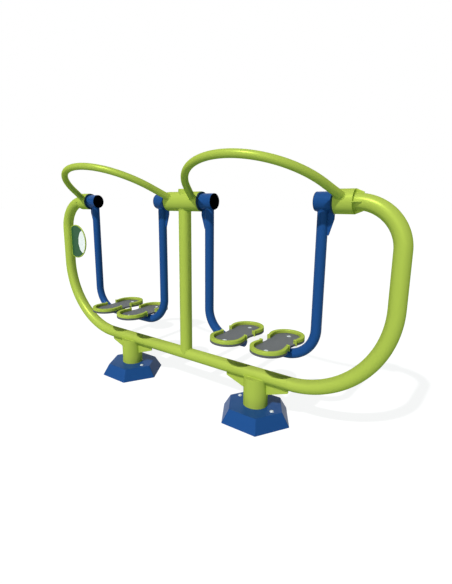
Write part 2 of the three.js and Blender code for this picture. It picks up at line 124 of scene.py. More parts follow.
TUBE_SIDES = 64
ROUND_SIDES = 72
BOLT_SIDES = 36
WELD_SIDES = 8
CORNER_STEPS = 5
TOP_BEND_STEPS = 28
BOTTOM_BEND_STEPS = 44
HANDRAIL_STEPS = 72
LEG_BEND_STEPS = 32
FOOT_POST_STEPS = 48
HEXAGON_SIDE_STEPS = 10
OVAL_STEPS = 96
BARE_FIELD_STEPS = 40
CAP_STEPS = 8
DOME_STEPS = 7
WAIST_STEPS = 14
LOBE_STEPS = 56
BEVEL_STEPS = 3
WELD_STEP = 0.0016              # length of one step along a weld bead
SHARP_ANGLE = math.radians(40)  # edges that turn more than this aren't smoothed
MERGE_DISTANCE = 0.000001       # corners closer than this become one

# Small sizes, and places as shares of the sizes that they follow

FIN_COUNT = 4
SMALL_PLATE_ROUND = 0.0012      # rounding of the edges of small plates
SEAT_GAP = 0.0003               # between the end cap and the hub
NEARLY_SIDEWAYS = 0.9           # how far a way lies along the machine, from 0 to 1
FIN_ROOT_SHARE = 0.985          # where a fin starts inside the tube's skin
GUSSET_ROOT_SHARE = 0.995       # where a leg's gusset starts inside the leg tube's skin
HUB_ROOT_SHARE = 0.99           # and where it starts inside the hub's
HUB_BORE_SHARE = 0.84           # the hub's bore, to the end cap's radius
HUB_DEPTH_SHARE = 0.6           # the depth of that bore, to its radius
CROWN_POWER = 0.35              # a lower power makes the end cap's crown fuller
WELD_END_SHARE = 0.4            # the ends of an open weld bead, to the bead
NOTCH_STEP_SHARE = 1.3          # the steps round the notch in a post, to those of other welds
COVER_CORNER_SHARE = 1.6        # the rounding of a cover's upright edges, to its level ones

# Bolt heads, as shares of their own height and radius

WASHER_HEIGHT_SHARE = 0.18
WASHER_RADIUS_SHARE = 1.22
WASHER_EDGE_SHARE = 0.6         # the height of the washer's straight edge, to its whole height
WASHER_TOP_SHARE = 0.96         # the washer's radius on top, to its whole radius
DOME_START_SHARE = 0.3          # the height at which the head's straight side ends
SOCKET_SHARE = 0.42             # the socket's size, which the next two follow
SOCKET_MOUTH_SHARE = 1.25       # where the dome ends round the socket
SOCKET_FLAT_SHARE = 0.87        # from the middle to a flat of the socket
SOCKET_FLOOR_SHARE = 0.45       # the height of the socket's floor, to the head's height

# Finishes that several materials share

LIME_GLOSS = (0.97, 1.0, 0.25, 1.0)
BLUE_GLOSS = (0.6, 0.8, 1.0, 1.0)
CLEAR_GLOSS = (1.0, 1.0, 1.0, 1.0)
DUST_COLOUR = (0.52, 0.50, 0.45, 1.0)
BRIGHT_STEEL = (0.9, 0.9, 0.9, 1.0)
DUST_ROUGHNESS = 1.5            # what full dust adds to a coat's roughness
WORN_GAIN = 1.35                # how much lighter a coat is where it is worn
WORN_LIFT = 0.02                # what is added to it there
GRAIN_TONE = 2.0                # how much more grain does to the tone than to the roughness
LEVEL_ENOUGH = 0.8              # faces that point up more than this are a pedal's top

# Settings


def length(name, description, default):
    """A length in metres, as a property"""
    return FloatProperty(
        name=name, description=description, default=default, unit="LENGTH", precision=4,
    )


def angle(name, description, degrees):
    """An angle, as a property"""
    return FloatProperty(
        name=name, description=description, default=math.radians(degrees), subtype="ANGLE",
    )


def share(name, description, default):
    """A share from 0 to 1, as a property"""
    return FloatProperty(
        name=name, description=description, default=default, min=0, max=1, subtype="FACTOR",
    )


def colour(name, description, default):
    """A linear colour, as a property"""
    return FloatVectorProperty(
        name=name, description=description, default=(*default, 1.0), size=4, min=0, max=1,
        subtype="COLOR",
    )


def strength(name, description, default):
    """The strength of a lamp, as a property"""
    return FloatProperty(name=name, description=description, default=default, min=0)


def direction(name, description, default):
    """A way through space, as a property"""
    return FloatVectorProperty(
        name=name, description=description, default=default, subtype="DIRECTION",
    )


class FrameSizes(bpy.types.PropertyGroup):
    """Sizes of the main tube, the housings and the welds"""

    top_bend: length("Top bend", "Radius of the upper corners on the centre line", 0.206)
    bottom_bend: length("Bottom bend", "Radius of the lower corners on the centre line", 0.495)
    housing_edge: length("Housing edge", "Rounding of the housings' edges", 0.0015)
    housing_bore: length("Housing bore", "Radius of the bore that holds the bearings", 0.0428)
    end_wall: length("End wall", "Thickness of the outer housings' closed end", 0.014)
    fin_length: length("Fin length", "Length of the fins along the tube", 0.036)
    fin_thickness: length("Fin thickness", "Thickness of the fins", 0.006)
    fin_tip: length("Fin tip", "From the axle line to the fins' outer corner at their tips", 0.042)
    weld: length("Weld", "Radius of a weld bead", 0.0024)
    small_weld: length("Small weld", "Radius of a weld bead along a thin plate", 0.0016)
    ripple: share("Weld ripple", "How deep the ripples of a weld bead are", 0.06)
    ripple_length: length("Ripple length", "Distance between two ripples of a weld bead", 0.0052)


class HandrailSizes(bpy.types.PropertyGroup):
    """Sizes of the two bent handrails"""

    diameter: length("Diameter", "Outer diameter of the bar", 0.040)
    tilt: angle("Tilt", "Angle of the bar's plane above the horizontal", 29)
    arc_radius: length("Arc radius", "Radius of the bar's arc on the centre line", 0.411)
    arc_place: length("Arc place", "From the axle line to the centre of the arc", 0.0075)
    arc_half_angle: angle("Arc half angle", "Half of the angle that the arc covers", 68)


class FootSizes(bpy.types.PropertyGroup):
    """Sizes of the feet and their covers"""

    gusset_root_drop: length("Gusset root", "From the rail's centre line to its lower end", 0.107)
    gusset_tip_drop: length("Gusset tip", "From the rail's centre line to its outer tip", 0.060)
    gusset_thickness: length("Gusset thickness", "Thickness of the two gussets", 0.007)
    gusset_corner: length("Gusset corner", "Rounding of the gusset's outer corner", 0.009)
    cover_top_radius: length("Cover top", "From the middle to a corner of the cover's top", 0.170)
    cover_wall: length("Cover wall", "Thickness of the cover's sheet", 0.003)
    cover_edge: length("Cover edge", "Rounding of the cover's folded edges", 0.0035)
    cover_hole_gap: length("Hole gap", "Gap between the cover and the post", 0.0012)
    bolt_reach: length("Bolt reach", "Place of the two cover bolts along the machine", 0.119)
    bolt_offset: length("Bolt offset", "Place of the two cover bolts across the machine", 0.0255)
    bolt_radius: length("Bolt radius", "Radius of a cover bolt's head", 0.0096)
    bolt_height: length("Bolt height", "Height of a cover bolt's head", 0.0070)


class SignSizes(bpy.types.PropertyGroup):
    """Sizes of the oval sign plate"""

    half_width: length("Half width", "Half of the plate's full width", 0.119)
    border: length("Border", "Width of the plain rim round the coloured field", 0.0065)
    film: length("Film", "Thickness of the coloured field", 0.0006)
    bare_half_height: length("Bare half height", "Half of the bare white field's height", 0.084)
    bare_bulge: length("Bare bulge", "How far that field bulges into the green one", 0.050)


class LegSizes(bpy.types.PropertyGroup):
    """Sizes of the swinging legs and their hubs"""

    diameter: length("Diameter", "Outer diameter of the leg tube", 0.0526)
    bend: length("Bend", "Radius of the leg's bend on the centre line", 0.160)
    place: length("Place", "From the housing's face to the leg's centre line", 0.058)
    hub_edge: length("Hub edge", "Rounding of the hub's edges", 0.0015)
    seal_gap: length("Seal gap", "Between the dust seal and the gusset under it", 0.0004)
    gusset_gap: length("Gusset gap", "From the housing's face to the gusset's upright edge", 0.0015)
    gusset_shoulder: length("Gusset shoulder", "From the axle line to that edge's lower end", 0.080)
    gusset_drop: length("Gusset drop", "From the axle line to the gusset's lower end", 0.157)
    gusset_step: length("Gusset step", "Width of the gusset's lower end", 0.0075)
    gusset_thickness: length("Gusset thickness", "Thickness of the gusset", 0.006)
    cap_edge: length("Cap edge", "Height of the end cap's straight edge", 0.0014)
    bar_length: length("Bar length", "Length of the bar under the pedal", 0.310)
    bar_width: length("Bar width", "Width of the bar under the pedal", 0.050)
    bar_thickness: length("Bar thickness", "Thickness of the bar under the pedal", 0.006)


class PedalSizes(bpy.types.PropertyGroup):
    """Sizes of the pedals and their rims"""

    lobe_radius: length("Lobe radius", "Radius of the pedal's two round ends", 0.097)
    lobe_place: length("Lobe place", "From the waist to the centre of a round end", 0.1077)
    waist: length("Waist", "Half of the pedal's width at its waist", 0.074)
    edge: length("Edge", "Rounding of the plate's edges", 0.0018)
    rim_width: length("Rim width", "Width of the two raised rims at the lobes", 0.022)
    rim_waist_width: length("Rim waist width", "Width that they would have at the waist", 0.008)
    rim_height: length("Rim height", "Height of the rims above the plate", 0.019)
    rim_start: length("Rim start", "From the waist to the ends of a rim", 0.041)
    rim_edge: length("Rim edge", "Rounding of a rim's edges", 0.0030)
    end_plate: length("End plate", "Thickness of the plate that closes a rim's end", 0.006)
    end_plate_reach: length("End plate reach", "How far that plate stands past the pedal", 0.007)
    bolt_place: length("Bolt place", "From the waist to each bolt", 0.134)
    bolt_radius: length("Bolt radius", "Radius of a pedal bolt's head", 0.0095)
    bolt_height: length("Bolt height", "Height of a pedal bolt's head", 0.0026)


class Finishes(bpy.types.PropertyGroup):
    """Colours of the machine"""

    lime: colour("Lime", "Powder coat of the frame", (0.457, 0.566, 0.084))
    blue: colour("Blue", "Powder coat of the legs and covers", (0.0148, 0.0772, 0.266))
    green: colour("Green", "Field of the sign plate", (0.016, 0.092, 0.032))
    white: colour("White", "Bare field of the sign plate", (0.93, 0.94, 0.92))
    tread: colour("Tread", "Top of the pedals", (0.136, 0.143, 0.154))
    tread_edge: colour("Tread edge", "Cut edge of the pedals", (0.105, 0.110, 0.115))
    black: colour("Black", "End caps", (0.0018, 0.0018, 0.0019))
    rubber: colour("Rubber", "Dust seals", (0.020, 0.056, 0.085))
    zinc: colour("Zinc", "Heads of the bolts", (0.68, 0.72, 0.74))
    steel: colour("Steel", "Turned parts inside", (0.42, 0.43, 0.44))


class StudioSettings(bpy.types.PropertyGroup):
    """Light, floor and camera"""

    ambient: share("Ambient", "Level of the light from all sides", 0.16)
    shade: colour("Shade", "Colour of the light from all sides", (0.70, 1.0, 0.97))
    sun: strength("Sun", "Strength of the main light", 2.55)
    sun_width: angle("Sun width", "Angle that the main light covers", 1.5)
    sun_way: direction("Sun way", "Way that the main light travels", (0.025, 0.70, -0.714))
    fill: strength("Fill", "Strength of the soft light from the front", 0.75)
    fill_way: direction("Fill way", "Way that the soft light travels", (-0.25, 0.97, -0.05))
    back: strength("Back", "Strength of the soft light from behind", 0.45)
    back_way: direction("Back way", "Way that the light from behind travels", (0.35, -0.93, 0.0))
    soft_width: angle("Soft width", "Angle that each soft light covers", 50)
    floor_size: length("Floor size", "Half of the floor's side", 60.0)
    floor_glow: share("Floor glow", "How bright the floor stays in a full shadow", 0.88)
    floor_shade: share("Floor shade", "What the light adds to that", 0.22)
    floor_bounce: share("Floor bounce", "How much light the floor throws back", 0.45)
    focal: FloatProperty(
        name="Focal length", description="Focal length of the camera", default=30.8, unit="CAMERA",
    )
    place: FloatVectorProperty(
        name="Camera place", description="Place of the camera", default=(1.5223, -1.7113, 1.2135),
        unit="LENGTH",
    )
    pitch: angle("Pitch", "How far the camera looks down", 11.632)
    heading: angle("Heading", "How far the camera is turned to the left", 37.088)
    view_width: IntProperty(name="Width", description="Width of the picture", default=452)
    view_height: IntProperty(name="Height", description="Height of the picture", default=584)
    centre_x: FloatProperty(
        name="Centre X", description="Where the lens points in the picture, across", default=206.19,
    )
    centre_y: FloatProperty(
        name="Centre Y", description="Where the lens points in the picture, down", default=281.39,
    )


class AirWalkerSettings(bpy.types.PropertyGroup):
    """All settings of the machine"""

    frame: PointerProperty(type=FrameSizes)
    handrail: PointerProperty(type=HandrailSizes)
    foot: PointerProperty(type=FootSizes)
    sign: PointerProperty(type=SignSizes)
    leg: PointerProperty(type=LegSizes)
    pedal: PointerProperty(type=PedalSizes)
    finishes: PointerProperty(type=Finishes)
    studio: PointerProperty(type=StudioSettings)


# Shader nodes


def add_node(tree, kind, inputs=None, **settings):
    """Adds a node, links or sets its inputs and returns it"""
    node = tree.nodes.new(kind)
    for name, value in settings.items():
        setattr(node, name, value)
    for name, value in (inputs or {}).items():
        if isinstance(value, bpy.types.NodeSocket):
            tree.links.new(value, node.inputs[name])
        else:
            node.inputs[name].default_value = value
    return node


def calculate(tree, operation, first, second=0.0, clamp=False):
    node = add_node(
        tree, "ShaderNodeMath", {0: first, 1: second}, operation=operation, use_clamp=clamp,
    )
    return node.outputs[0]


def centred(tree, value, amount):
    """A value from 0 to 1 as a swing of that amount to both sides of 0"""
    return calculate(tree, "MULTIPLY", calculate(tree, "SUBTRACT", value, 0.5), amount)


def mix_colour(tree, factor, first, second):
    node = add_node(tree, "ShaderNodeMix", {0: factor, 6: first, 7: second}, data_type="RGBA")
    return node.outputs[2]


def tone(tree, base, value):
    """A colour made lighter or darker by a value round 1"""
    node = add_node(tree, "ShaderNodeHueSaturation", {"Color": base, "Value": value})
    return node.outputs["Color"]


def upward(tree):
    """How far a face points up in the piece's own space, as the Z of its normal"""
    normal = add_node(tree, "ShaderNodeTexCoord").outputs["Normal"]
    return add_node(tree, "ShaderNodeSeparateXYZ", {0: normal}).outputs["Z"]


def noise(tree, scale, detail, roughness=0.5):
    """Noise in the piece's own space, so that it moves with the piece"""
    inputs = {
        "Vector": add_node(tree, "ShaderNodeTexCoord").outputs["Object"],
        "Scale": scale, "Detail": detail, "Roughness": roughness,
    }
    return add_node(tree, "ShaderNodeTexNoise", inputs).outputs["Fac"]


def effect(name, inputs, outputs, build):
    """A shader node group with named sockets, built once"""
    group = bpy.data.node_groups.get(name)
    if group:
        return group
    group = bpy.data.node_groups.new(name, "ShaderNodeTree")
    for socket, default in inputs.items():
        kind = "NodeSocketFloat" if isinstance(default, float) else "NodeSocketColor"
        entry = group.interface.new_socket(name=socket, in_out="INPUT", socket_type=kind)
        entry.default_value = default
    for socket, kind in outputs.items():
        group.interface.new_socket(name=socket, in_out="OUTPUT", socket_type=kind)
    incoming = group.nodes.new("NodeGroupInput").outputs
    leaving = group.nodes.new("NodeGroupOutput").inputs
    for socket, value in build(group, incoming).items():
        group.links.new(value, leaving[socket])
    return group


def tone_drift():
    """Slow changes of tone over the surface, and dust that settled on it"""
    def build(tree, entry):
        drift = centred(tree, noise(tree, scale=3.1, detail=4.0, roughness=0.6), entry["Drift"])
        toned = tone(tree, entry["Colour"], calculate(tree, "ADD", drift, 1.0))
        exposed = calculate(tree, "MAXIMUM", upward(tree), 0.0)
        settled = calculate(tree, "MULTIPLY", exposed, noise(tree, scale=42.0, detail=5.0))
        dust = calculate(tree, "MULTIPLY", settled, entry["Dust"], clamp=True)
        return {"Colour": mix_colour(tree, dust, toned, DUST_COLOUR), "Dust": dust}
    return effect(
        "tone_drift",
        {"Colour": (0.5, 0.5, 0.5, 1.0), "Drift": 0.1, "Dust": 0.05},
        {"Colour": "NodeSocketColor", "Dust": "NodeSocketFloat"},
        build,
    )


def orange_peel():
    """The soft waviness of a powder coat"""
    def build(tree, entry):
        blotches = centred(tree, noise(tree, scale=27.0, detail=3.0), entry["Blotches"])
        return {
            "Height": noise(tree, scale=entry["Fineness"], detail=2.0),
            "Roughness": calculate(tree, "ADD", entry["Roughness"], blotches, clamp=True),
        }
    return effect(
        "orange_peel",
        {"Fineness": 320.0, "Roughness": 0.3, "Blotches": 0.08},
        {"Height": "NodeSocketFloat", "Roughness": "NodeSocketFloat"},
        build,
    )


def edge_wear():
    """A mask of the outer edges, broken up as by use"""
    def build(tree, entry):
        softened = add_node(tree, "ShaderNodeBevel", {"Radius": entry["Radius"]}, samples=4)
        unchanged = add_node(tree, "ShaderNodeNewGeometry")
        normals = {0: softened.outputs["Normal"], 1: unchanged.outputs["Normal"]}
        agree = add_node(tree, "ShaderNodeVectorMath", normals, operation="DOT_PRODUCT")
        edge = calculate(tree, "SUBTRACT", 1.0, agree.outputs["Value"], clamp=True)
        spots = noise(tree, scale=130.0, detail=6.0, roughness=0.7)
        broken = calculate(tree, "MULTIPLY", edge, spots)
        return {"Mask": calculate(tree, "MULTIPLY", broken, entry["Amount"], clamp=True)}
    return effect(
        "edge_wear", {"Radius": 0.002, "Amount": 1.0}, {"Mask": "NodeSocketFloat"}, build,
    )


def fine_grain():
    """The grain of moulded plastic, rubber and blasted metal"""
    def build(tree, entry):
        grain = noise(tree, scale=entry["Fineness"], detail=5.0, roughness=0.65)
        spots = centred(tree, grain, entry["Contrast"])
        value = calculate(tree, "ADD", calculate(tree, "MULTIPLY", spots, GRAIN_TONE), 1.0)
        return {
            "Height": grain,
            "Roughness": calculate(tree, "ADD", entry["Roughness"], spots, clamp=True),
            "Colour": tone(tree, entry["Colour"], value),
        }
    return effect(
        "fine_grain",
        {"Colour": (0.5, 0.5, 0.5, 1.0), "Fineness": 900.0, "Contrast": 0.1, "Roughness": 0.6},
        {"Height": "NodeSocketFloat", "Roughness": "NodeSocketFloat", "Colour": "NodeSocketColor"},
        build,
    )


def use_effect(tree, group, **inputs):
    return add_node(tree, "ShaderNodeGroup", inputs, node_tree=group).outputs


def make_material(name, build):
    """A material by its name, built when it is first asked for"""
    material = bpy.data.materials.get(name)
    if not material:
        material = bpy.data.materials.new(name)
        material.use_nodes = True
        build(material.node_tree)
    return material


def set_surface(tree, base, roughness, height, bump, depth, **constants):
    """Links what changes over the surface and sets the constants"""
    shader = tree.nodes["Principled BSDF"]
    node = add_node(tree, "ShaderNodeBump", {"Height": height, "Strength": bump, "Distance": depth})
    tree.links.new(base, shader.inputs["Base Color"])
    tree.links.new(roughness, shader.inputs["Roughness"])
    tree.links.new(node.outputs["Normal"], shader.inputs["Normal"])
    for name, value in constants.items():
        shader.inputs[name.replace("_", " ")].default_value = value


def powder_coat(name, base, gloss, roughness, specular=0.5, metallic=0.0, dust=0.06):
    """Smooth powder coat with orange peel, worn a little at its edges"""
    def build(tree):
        drift = use_effect(tree, tone_drift(), Colour=tuple(base), Drift=0.06, Dust=dust)
        wear = use_effect(tree, edge_wear(), Radius=0.0022, Amount=1.3)["Mask"]
        peel = use_effect(
            tree, orange_peel(), Fineness=330.0, Roughness=roughness, Blotches=0.07,
        )
        worn = tuple(min(1.0, channel * WORN_GAIN + WORN_LIFT) for channel in base[:3]) + (1.0,)
        dulled = calculate(tree, "MULTIPLY", drift["Dust"], DUST_ROUGHNESS)
        set_surface(
            tree,
            mix_colour(tree, wear, drift["Colour"], worn),
            calculate(tree, "ADD", peel["Roughness"], dulled, clamp=True),
            peel["Height"], bump=0.04, depth=0.0006,
            Metallic=metallic, Specular_IOR_Level=specular, Specular_Tint=gloss,
        )
    return make_material(name, build)


def lime_coat(finishes):
    """Its gloss comes from a little metal in it, so that it shines in its own colour"""
    return powder_coat(
        "lime_powder_coat", finishes.lime, LIME_GLOSS, roughness=0.34, specular=0.0, metallic=0.14,
    )


def blue_coat(finishes):
    return powder_coat(
        "blue_powder_coat", finishes.blue, BLUE_GLOSS, roughness=0.32, specular=0.06,
        metallic=0.03, dust=0.01,
    )


def lime_weld(finishes):
    return powder_coat("lime_weld_coat", finishes.lime, LIME_GLOSS, roughness=0.55, specular=0.15)


def blue_weld(finishes):
    return powder_coat(
        "blue_weld_coat", finishes.blue, BLUE_GLOSS, roughness=0.55, specular=0.1, dust=0.0,
    )


def sign_green(finishes):
    return powder_coat(
        "sign_green_film", finishes.green, CLEAR_GLOSS, roughness=0.32, specular=0.25, dust=0.0,
    )


def sign_white(finishes):
    return powder_coat("sign_white_film", finishes.white, CLEAR_GLOSS, roughness=0.32, dust=0.03)


def grained(name, base, roughness, fineness, contrast, bump, specular):
    """Moulded plastic or rubber with a fine grain"""
    def build(tree):
        drift = use_effect(tree, tone_drift(), Colour=tuple(base), Drift=0.14, Dust=0.05)
        grain = use_effect(
            tree, fine_grain(),
            Colour=drift["Colour"], Fineness=fineness, Contrast=contrast, Roughness=roughness,
        )
        set_surface(
            tree, grain["Colour"], grain["Roughness"], grain["Height"], bump, depth=0.0008,
            Specular_IOR_Level=specular,
        )
    return make_material(name, build)


def black_plastic(finishes):
    return grained(
        "moulded_black", finishes.black, roughness=0.62, fineness=1400.0, contrast=0.10,
        bump=0.15, specular=0.0,
    )


def black_rubber(finishes):
    return grained(
        "seal_rubber", finishes.rubber, roughness=0.85, fineness=1100.0, contrast=0.12,
        bump=0.30, specular=0.1,
    )


def tread_plastic(finishes):
    """Grey anti-slip top with a darker cut edge"""
    def build(tree):
        drift = use_effect(
            tree, tone_drift(), Colour=tuple(finishes.tread), Drift=0.12, Dust=0.10,
        )
        grain = use_effect(
            tree, fine_grain(),
            Colour=drift["Colour"], Fineness=520.0, Contrast=0.22, Roughness=0.72,
        )
        top = calculate(tree, "GREATER_THAN", upward(tree), LEVEL_ENOUGH)
        set_surface(
            tree,
            mix_colour(tree, top, tuple(finishes.tread_edge), grain["Colour"]),
            grain["Roughness"], grain["Height"], bump=0.5, depth=0.0010,
            Specular_IOR_Level=0.3,
        )
    return make_material("antislip_tread", build)


def metal(name, base, roughness, fineness, contrast, metallic=1.0):
    """Bright or turned steel with a fine grain"""
    def build(tree):
        grain = use_effect(
            tree, fine_grain(),
            Colour=tuple(base), Fineness=fineness, Contrast=contrast, Roughness=roughness,
        )
        wear = use_effect(tree, edge_wear(), Radius=0.001, Amount=1.0)["Mask"]
        set_surface(
            tree,
            mix_colour(tree, wear, grain["Colour"], BRIGHT_STEEL),
            grain["Roughness"], grain["Height"], bump=0.12, depth=0.0004,
            Metallic=metallic,
        )
    return make_material(name, build)


def zinc(finishes):
    return metal(
        "zinc_bolts", finishes.zinc, roughness=0.50, fineness=700.0, contrast=0.08, metallic=0.35,
    )


def turned_steel(finishes):
    return metal("turned_steel", finishes.steel, roughness=0.40, fineness=1500.0, contrast=0.10)


# Outlines and centre lines


def rounded(corners):
    """Points of an outline whose corners (x, y, radius) are rounded off"""
    points = []
    count = len(corners)
    for i, (x, y, radius) in enumerate(corners):
        here = Vector((x, y))
        if radius == 0:
            points.append(here)
            continue
        before = (Vector(corners[i - 1][:2]) - here).normalized()
        after = (Vector(corners[(i + 1) % count][:2]) - here).normalized()
        half = before.angle(after) / 2
        centre = here + (before + after).normalized() * radius / math.sin(half)
        start = here + before * radius / math.tan(half) - centre
        end = here + after * radius / math.tan(half) - centre
        for step in range(CORNER_STEPS + 1):
            points.append(centre + start.lerp(end, step / CORNER_STEPS).normalized() * radius)
    return points


def circle_at(centre, along, across, radius, sides):
    """A ring of points square to `along`, starting on the side of `across`"""
    first = (across - along * across.dot(along)).normalized()
    second = along.cross(first)
    turn = 2 * math.pi / sides
    return [
        centre + radius * (math.cos(turn * i) * first + math.sin(turn * i) * second)
        for i in range(sides)
    ]


def leave_round(points, way, axis_point, axis, radius):
    """Slides points along a way to where they leave a cylinder"""
    moved = []
    step = way - axis * way.dot(axis)
    for point in points:
        offset = point - axis_point
        offset -= axis * offset.dot(axis)
        forward = offset.dot(step)
        over = offset.length_squared - radius ** 2
        root = math.sqrt(max(forward ** 2 - step.length_squared * over, 0.0))
        moved.append(point + way * (root - forward) / step.length_squared)
    return moved


class BentPath:
    """A bar's centre line in the XZ plane of a place, made of straight runs and round bends"""

    def __init__(self, place, x, z, heading):
        self.place = place
        self.stops = [(Vector((x, 0, z)), heading)]

    @staticmethod
    def way(heading):
        return Vector((math.cos(heading), 0, math.sin(heading)))

    def straight(self, distance):
        point, heading = self.stops[-1]
        self.stops.append((point + distance * self.way(heading), heading))
        return self

    def bend(self, radius, turn, steps):
        point, heading = self.stops[-1]
        side = math.copysign(radius, turn)
        centre = point + side * self.way(heading + QUARTER)
        for i in range(1, steps + 1):
            now = heading + turn * i / steps
            self.stops.append((centre - side * self.way(now + QUARTER), now))
        return self

    def rings(self, radius):
        """Rings of points that follow the centre line"""
        turn = self.place.to_3x3()
        across = turn @ Vector((0, 1, 0))
        return [
            circle_at(self.place @ point, turn @ self.way(heading), across, radius, TUBE_SIDES)
            for point, heading in self.stops
        ]

    def end_way(self, which):
        """The way in which the path runs at its first or last stop"""
        return self.place.to_3x3() @ self.way(self.stops[which][1])


# Making pieces


def new_object(name, data):
    """An object, linked to the scene"""
    made = bpy.data.objects.new(name, data)
    bpy.context.scene.collection.objects.link(made)
    return made


class Maker:
    """Collects the faces of one piece"""

    def __init__(self):
        self.mesh = bmesh.new()

    def join_rows(self, first, second):
        """Faces between two rows of corners, either of which may be a single point"""
        count = max(len(first), len(second))
        for i in range(count):
            j = (i + 1) % count
            corners = [
                first[i % len(first)], first[j % len(first)],
                second[j % len(second)], second[i % len(second)],
            ]
            distinct = list(dict.fromkeys(corners))
            if len(distinct) > 2:
                self.mesh.faces.new(distinct)

    def rings(self, rings, looped=False, capped=True):
        """A skin over rings of points, closed into a loop or capped at both ends"""
        rows = [[self.mesh.verts.new(point) for point in ring] for ring in rings]
        for row, following in zip(rows, rows[1:]):
            self.join_rows(row, following)
        if looped:
            self.join_rows(rows[-1], rows[0])
        elif capped:
            self.mesh.faces.new(rows[0][::-1])
            self.mesh.faces.new(rows[-1])
        return self

    def lathe(self, outline, place):
        """Turns an outline of (along, radius) about the X axis of a place"""
        rows = []
        turn = 2 * math.pi / ROUND_SIDES
        for along, radius in outline:
            count = ROUND_SIDES if radius > 0 else 1
            rows.append([
                self.mesh.verts.new(place @ Vector((
                    along, radius * math.cos(turn * i), radius * math.sin(turn * i),
                )))
                for i in range(count)
            ])
        for row, following in zip(rows, rows[1:]):
            self.join_rows(row, following)
        if len(rows[0]) > 1 and len(rows[-1]) > 1:
            self.join_rows(rows[-1], rows[0])
        return self

    def prism(self, outline, thickness, place):
        """A plate over an outline in the XY plane of a place, half of its thickness to each side"""
        bottom, top = (
            [self.mesh.verts.new(place @ Vector((x, y, height))) for x, y in outline]
            for height in (-thickness / 2, thickness / 2)
        )
        self.mesh.faces.new(bottom[::-1])
        self.mesh.faces.new(top)
        self.join_rows(bottom, top)
        return self

    def weld(self, points, outwards, sizes, closed=True):
        """A rippled weld bead along points, each with the way that is outward there"""
        bead = sizes.weld if closed else sizes.small_weld
        rings = []
        travelled = 0.0
        last = len(points) - 1
        for i, point in enumerate(points):
            before = points[i - 1] if closed or i > 0 else point
            after = points[(i + 1) % len(points)] if closed or i < last else point
            ripple = 1 + sizes.ripple * math.sin(2 * math.pi * travelled / sizes.ripple_length)
            taper = 1 if closed or 0 < i < last else WELD_END_SHARE
            along = (after - before).normalized()
            rings.append(circle_at(point, along, outwards[i], bead * ripple * taper, WELD_SIDES))
            travelled += (points[(i + 1) % len(points)] - point).length
        self.rings(rings, looped=closed)

    def seam(self, start, end, outward, sizes):
        """A straight weld bead along a thin plate"""
        steps = max(2, round((end - start).length / WELD_STEP))
        points = [start.lerp(end, i / steps) for i in range(steps + 1)]
        self.weld(points, [outward] * len(points), sizes, closed=False)

    def piece(self, name, material, body, slot, replaced=(), edge=0.0, merge=False):
        """Turns the faces into an object that rides on a body"""
        if merge:
            bmesh.ops.remove_doubles(self.mesh, verts=self.mesh.verts, dist=MERGE_DISTANCE)
        bmesh.ops.recalc_face_normals(self.mesh, faces=self.mesh.faces)
        data = bpy.data.meshes.new(name)
        self.mesh.to_mesh(data)
        self.mesh.free()
        data.polygons.foreach_set("use_smooth", [True] * len(data.polygons))
        data.materials.append(material)
        piece = new_object(name, data)
        if edge:
            bevel = piece.modifiers.new("rounded_edges", "BEVEL")
            bevel.width = edge
            bevel.segments = BEVEL_STEPS
            bevel.limit_method = "ANGLE"
            bevel.angle_limit = SHARP_ANGLE
        else:
            data.set_sharp_from_angle(angle=SHARP_ANGLE)
        normals = piece.modifiers.new("flat_faces_stay_flat", "WEIGHTED_NORMAL")
        normals.keep_sharp = True
        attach(piece, body)
        if replaced:
            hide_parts(*replaced)


def weld_round(maker, centre, way, radius, sizes, cylinder=None):
    """A weld bead round a tube, on a flat wall or on a cylinder that the tube leaves"""
    across = SIDEWAYS if abs(way.dot(SIDEWAYS)) < NEARLY_SIDEWAYS else UPWARDS
    ring = circle_at(centre, way, across, radius, round(2 * math.pi * radius / WELD_STEP))
    outwards = [point - centre for point in ring]
    if cylinder:
        ring = leave_round(ring, way, *cylinder)
    maker.weld(ring, outwards, sizes)


def at(x, z, end=MIDPLANE):
    """A place in the machine's middle plane, seen from one end"""
    return end @ Matrix.Translation((x, 0, z))


def refinish(node, material):
    """Gives a finish of the scene to a solid that keeps its own shape"""
    data = frame["nodes"][node].data
    data.materials.clear()
    data.materials.append(material)


class PieceOperator(bpy.types.Operator):
    """Base of the operators that build pieces"""

    bl_options = {"REGISTER", "UNDO"}

    def execute(self, context):
        self.build(context.scene.air_walker)
        return {"FINISHED"}


# Main frame


def outer_end(sizes):
    """Outer end of the right outer housing"""
    return high("outer_housing_right", X) - sizes.fin_length


def bend_path(end, sizes):
    """From an outer housing out, down round the top corner and in round the bottom one"""
    start = outer_end(sizes)
    upright = AXLE.z - sizes.top_bend - RAIL_HEIGHT - sizes.bottom_bend
    path = BentPath(end, start, AXLE.z, 0)
    path.straight(UPRIGHT - sizes.top_bend - start)
    path.bend(sizes.top_bend, -QUARTER, TOP_BEND_STEPS)
    path.straight(upright)
    return path.bend(sizes.bottom_bend, -QUARTER, BOTTOM_BEND_STEPS)


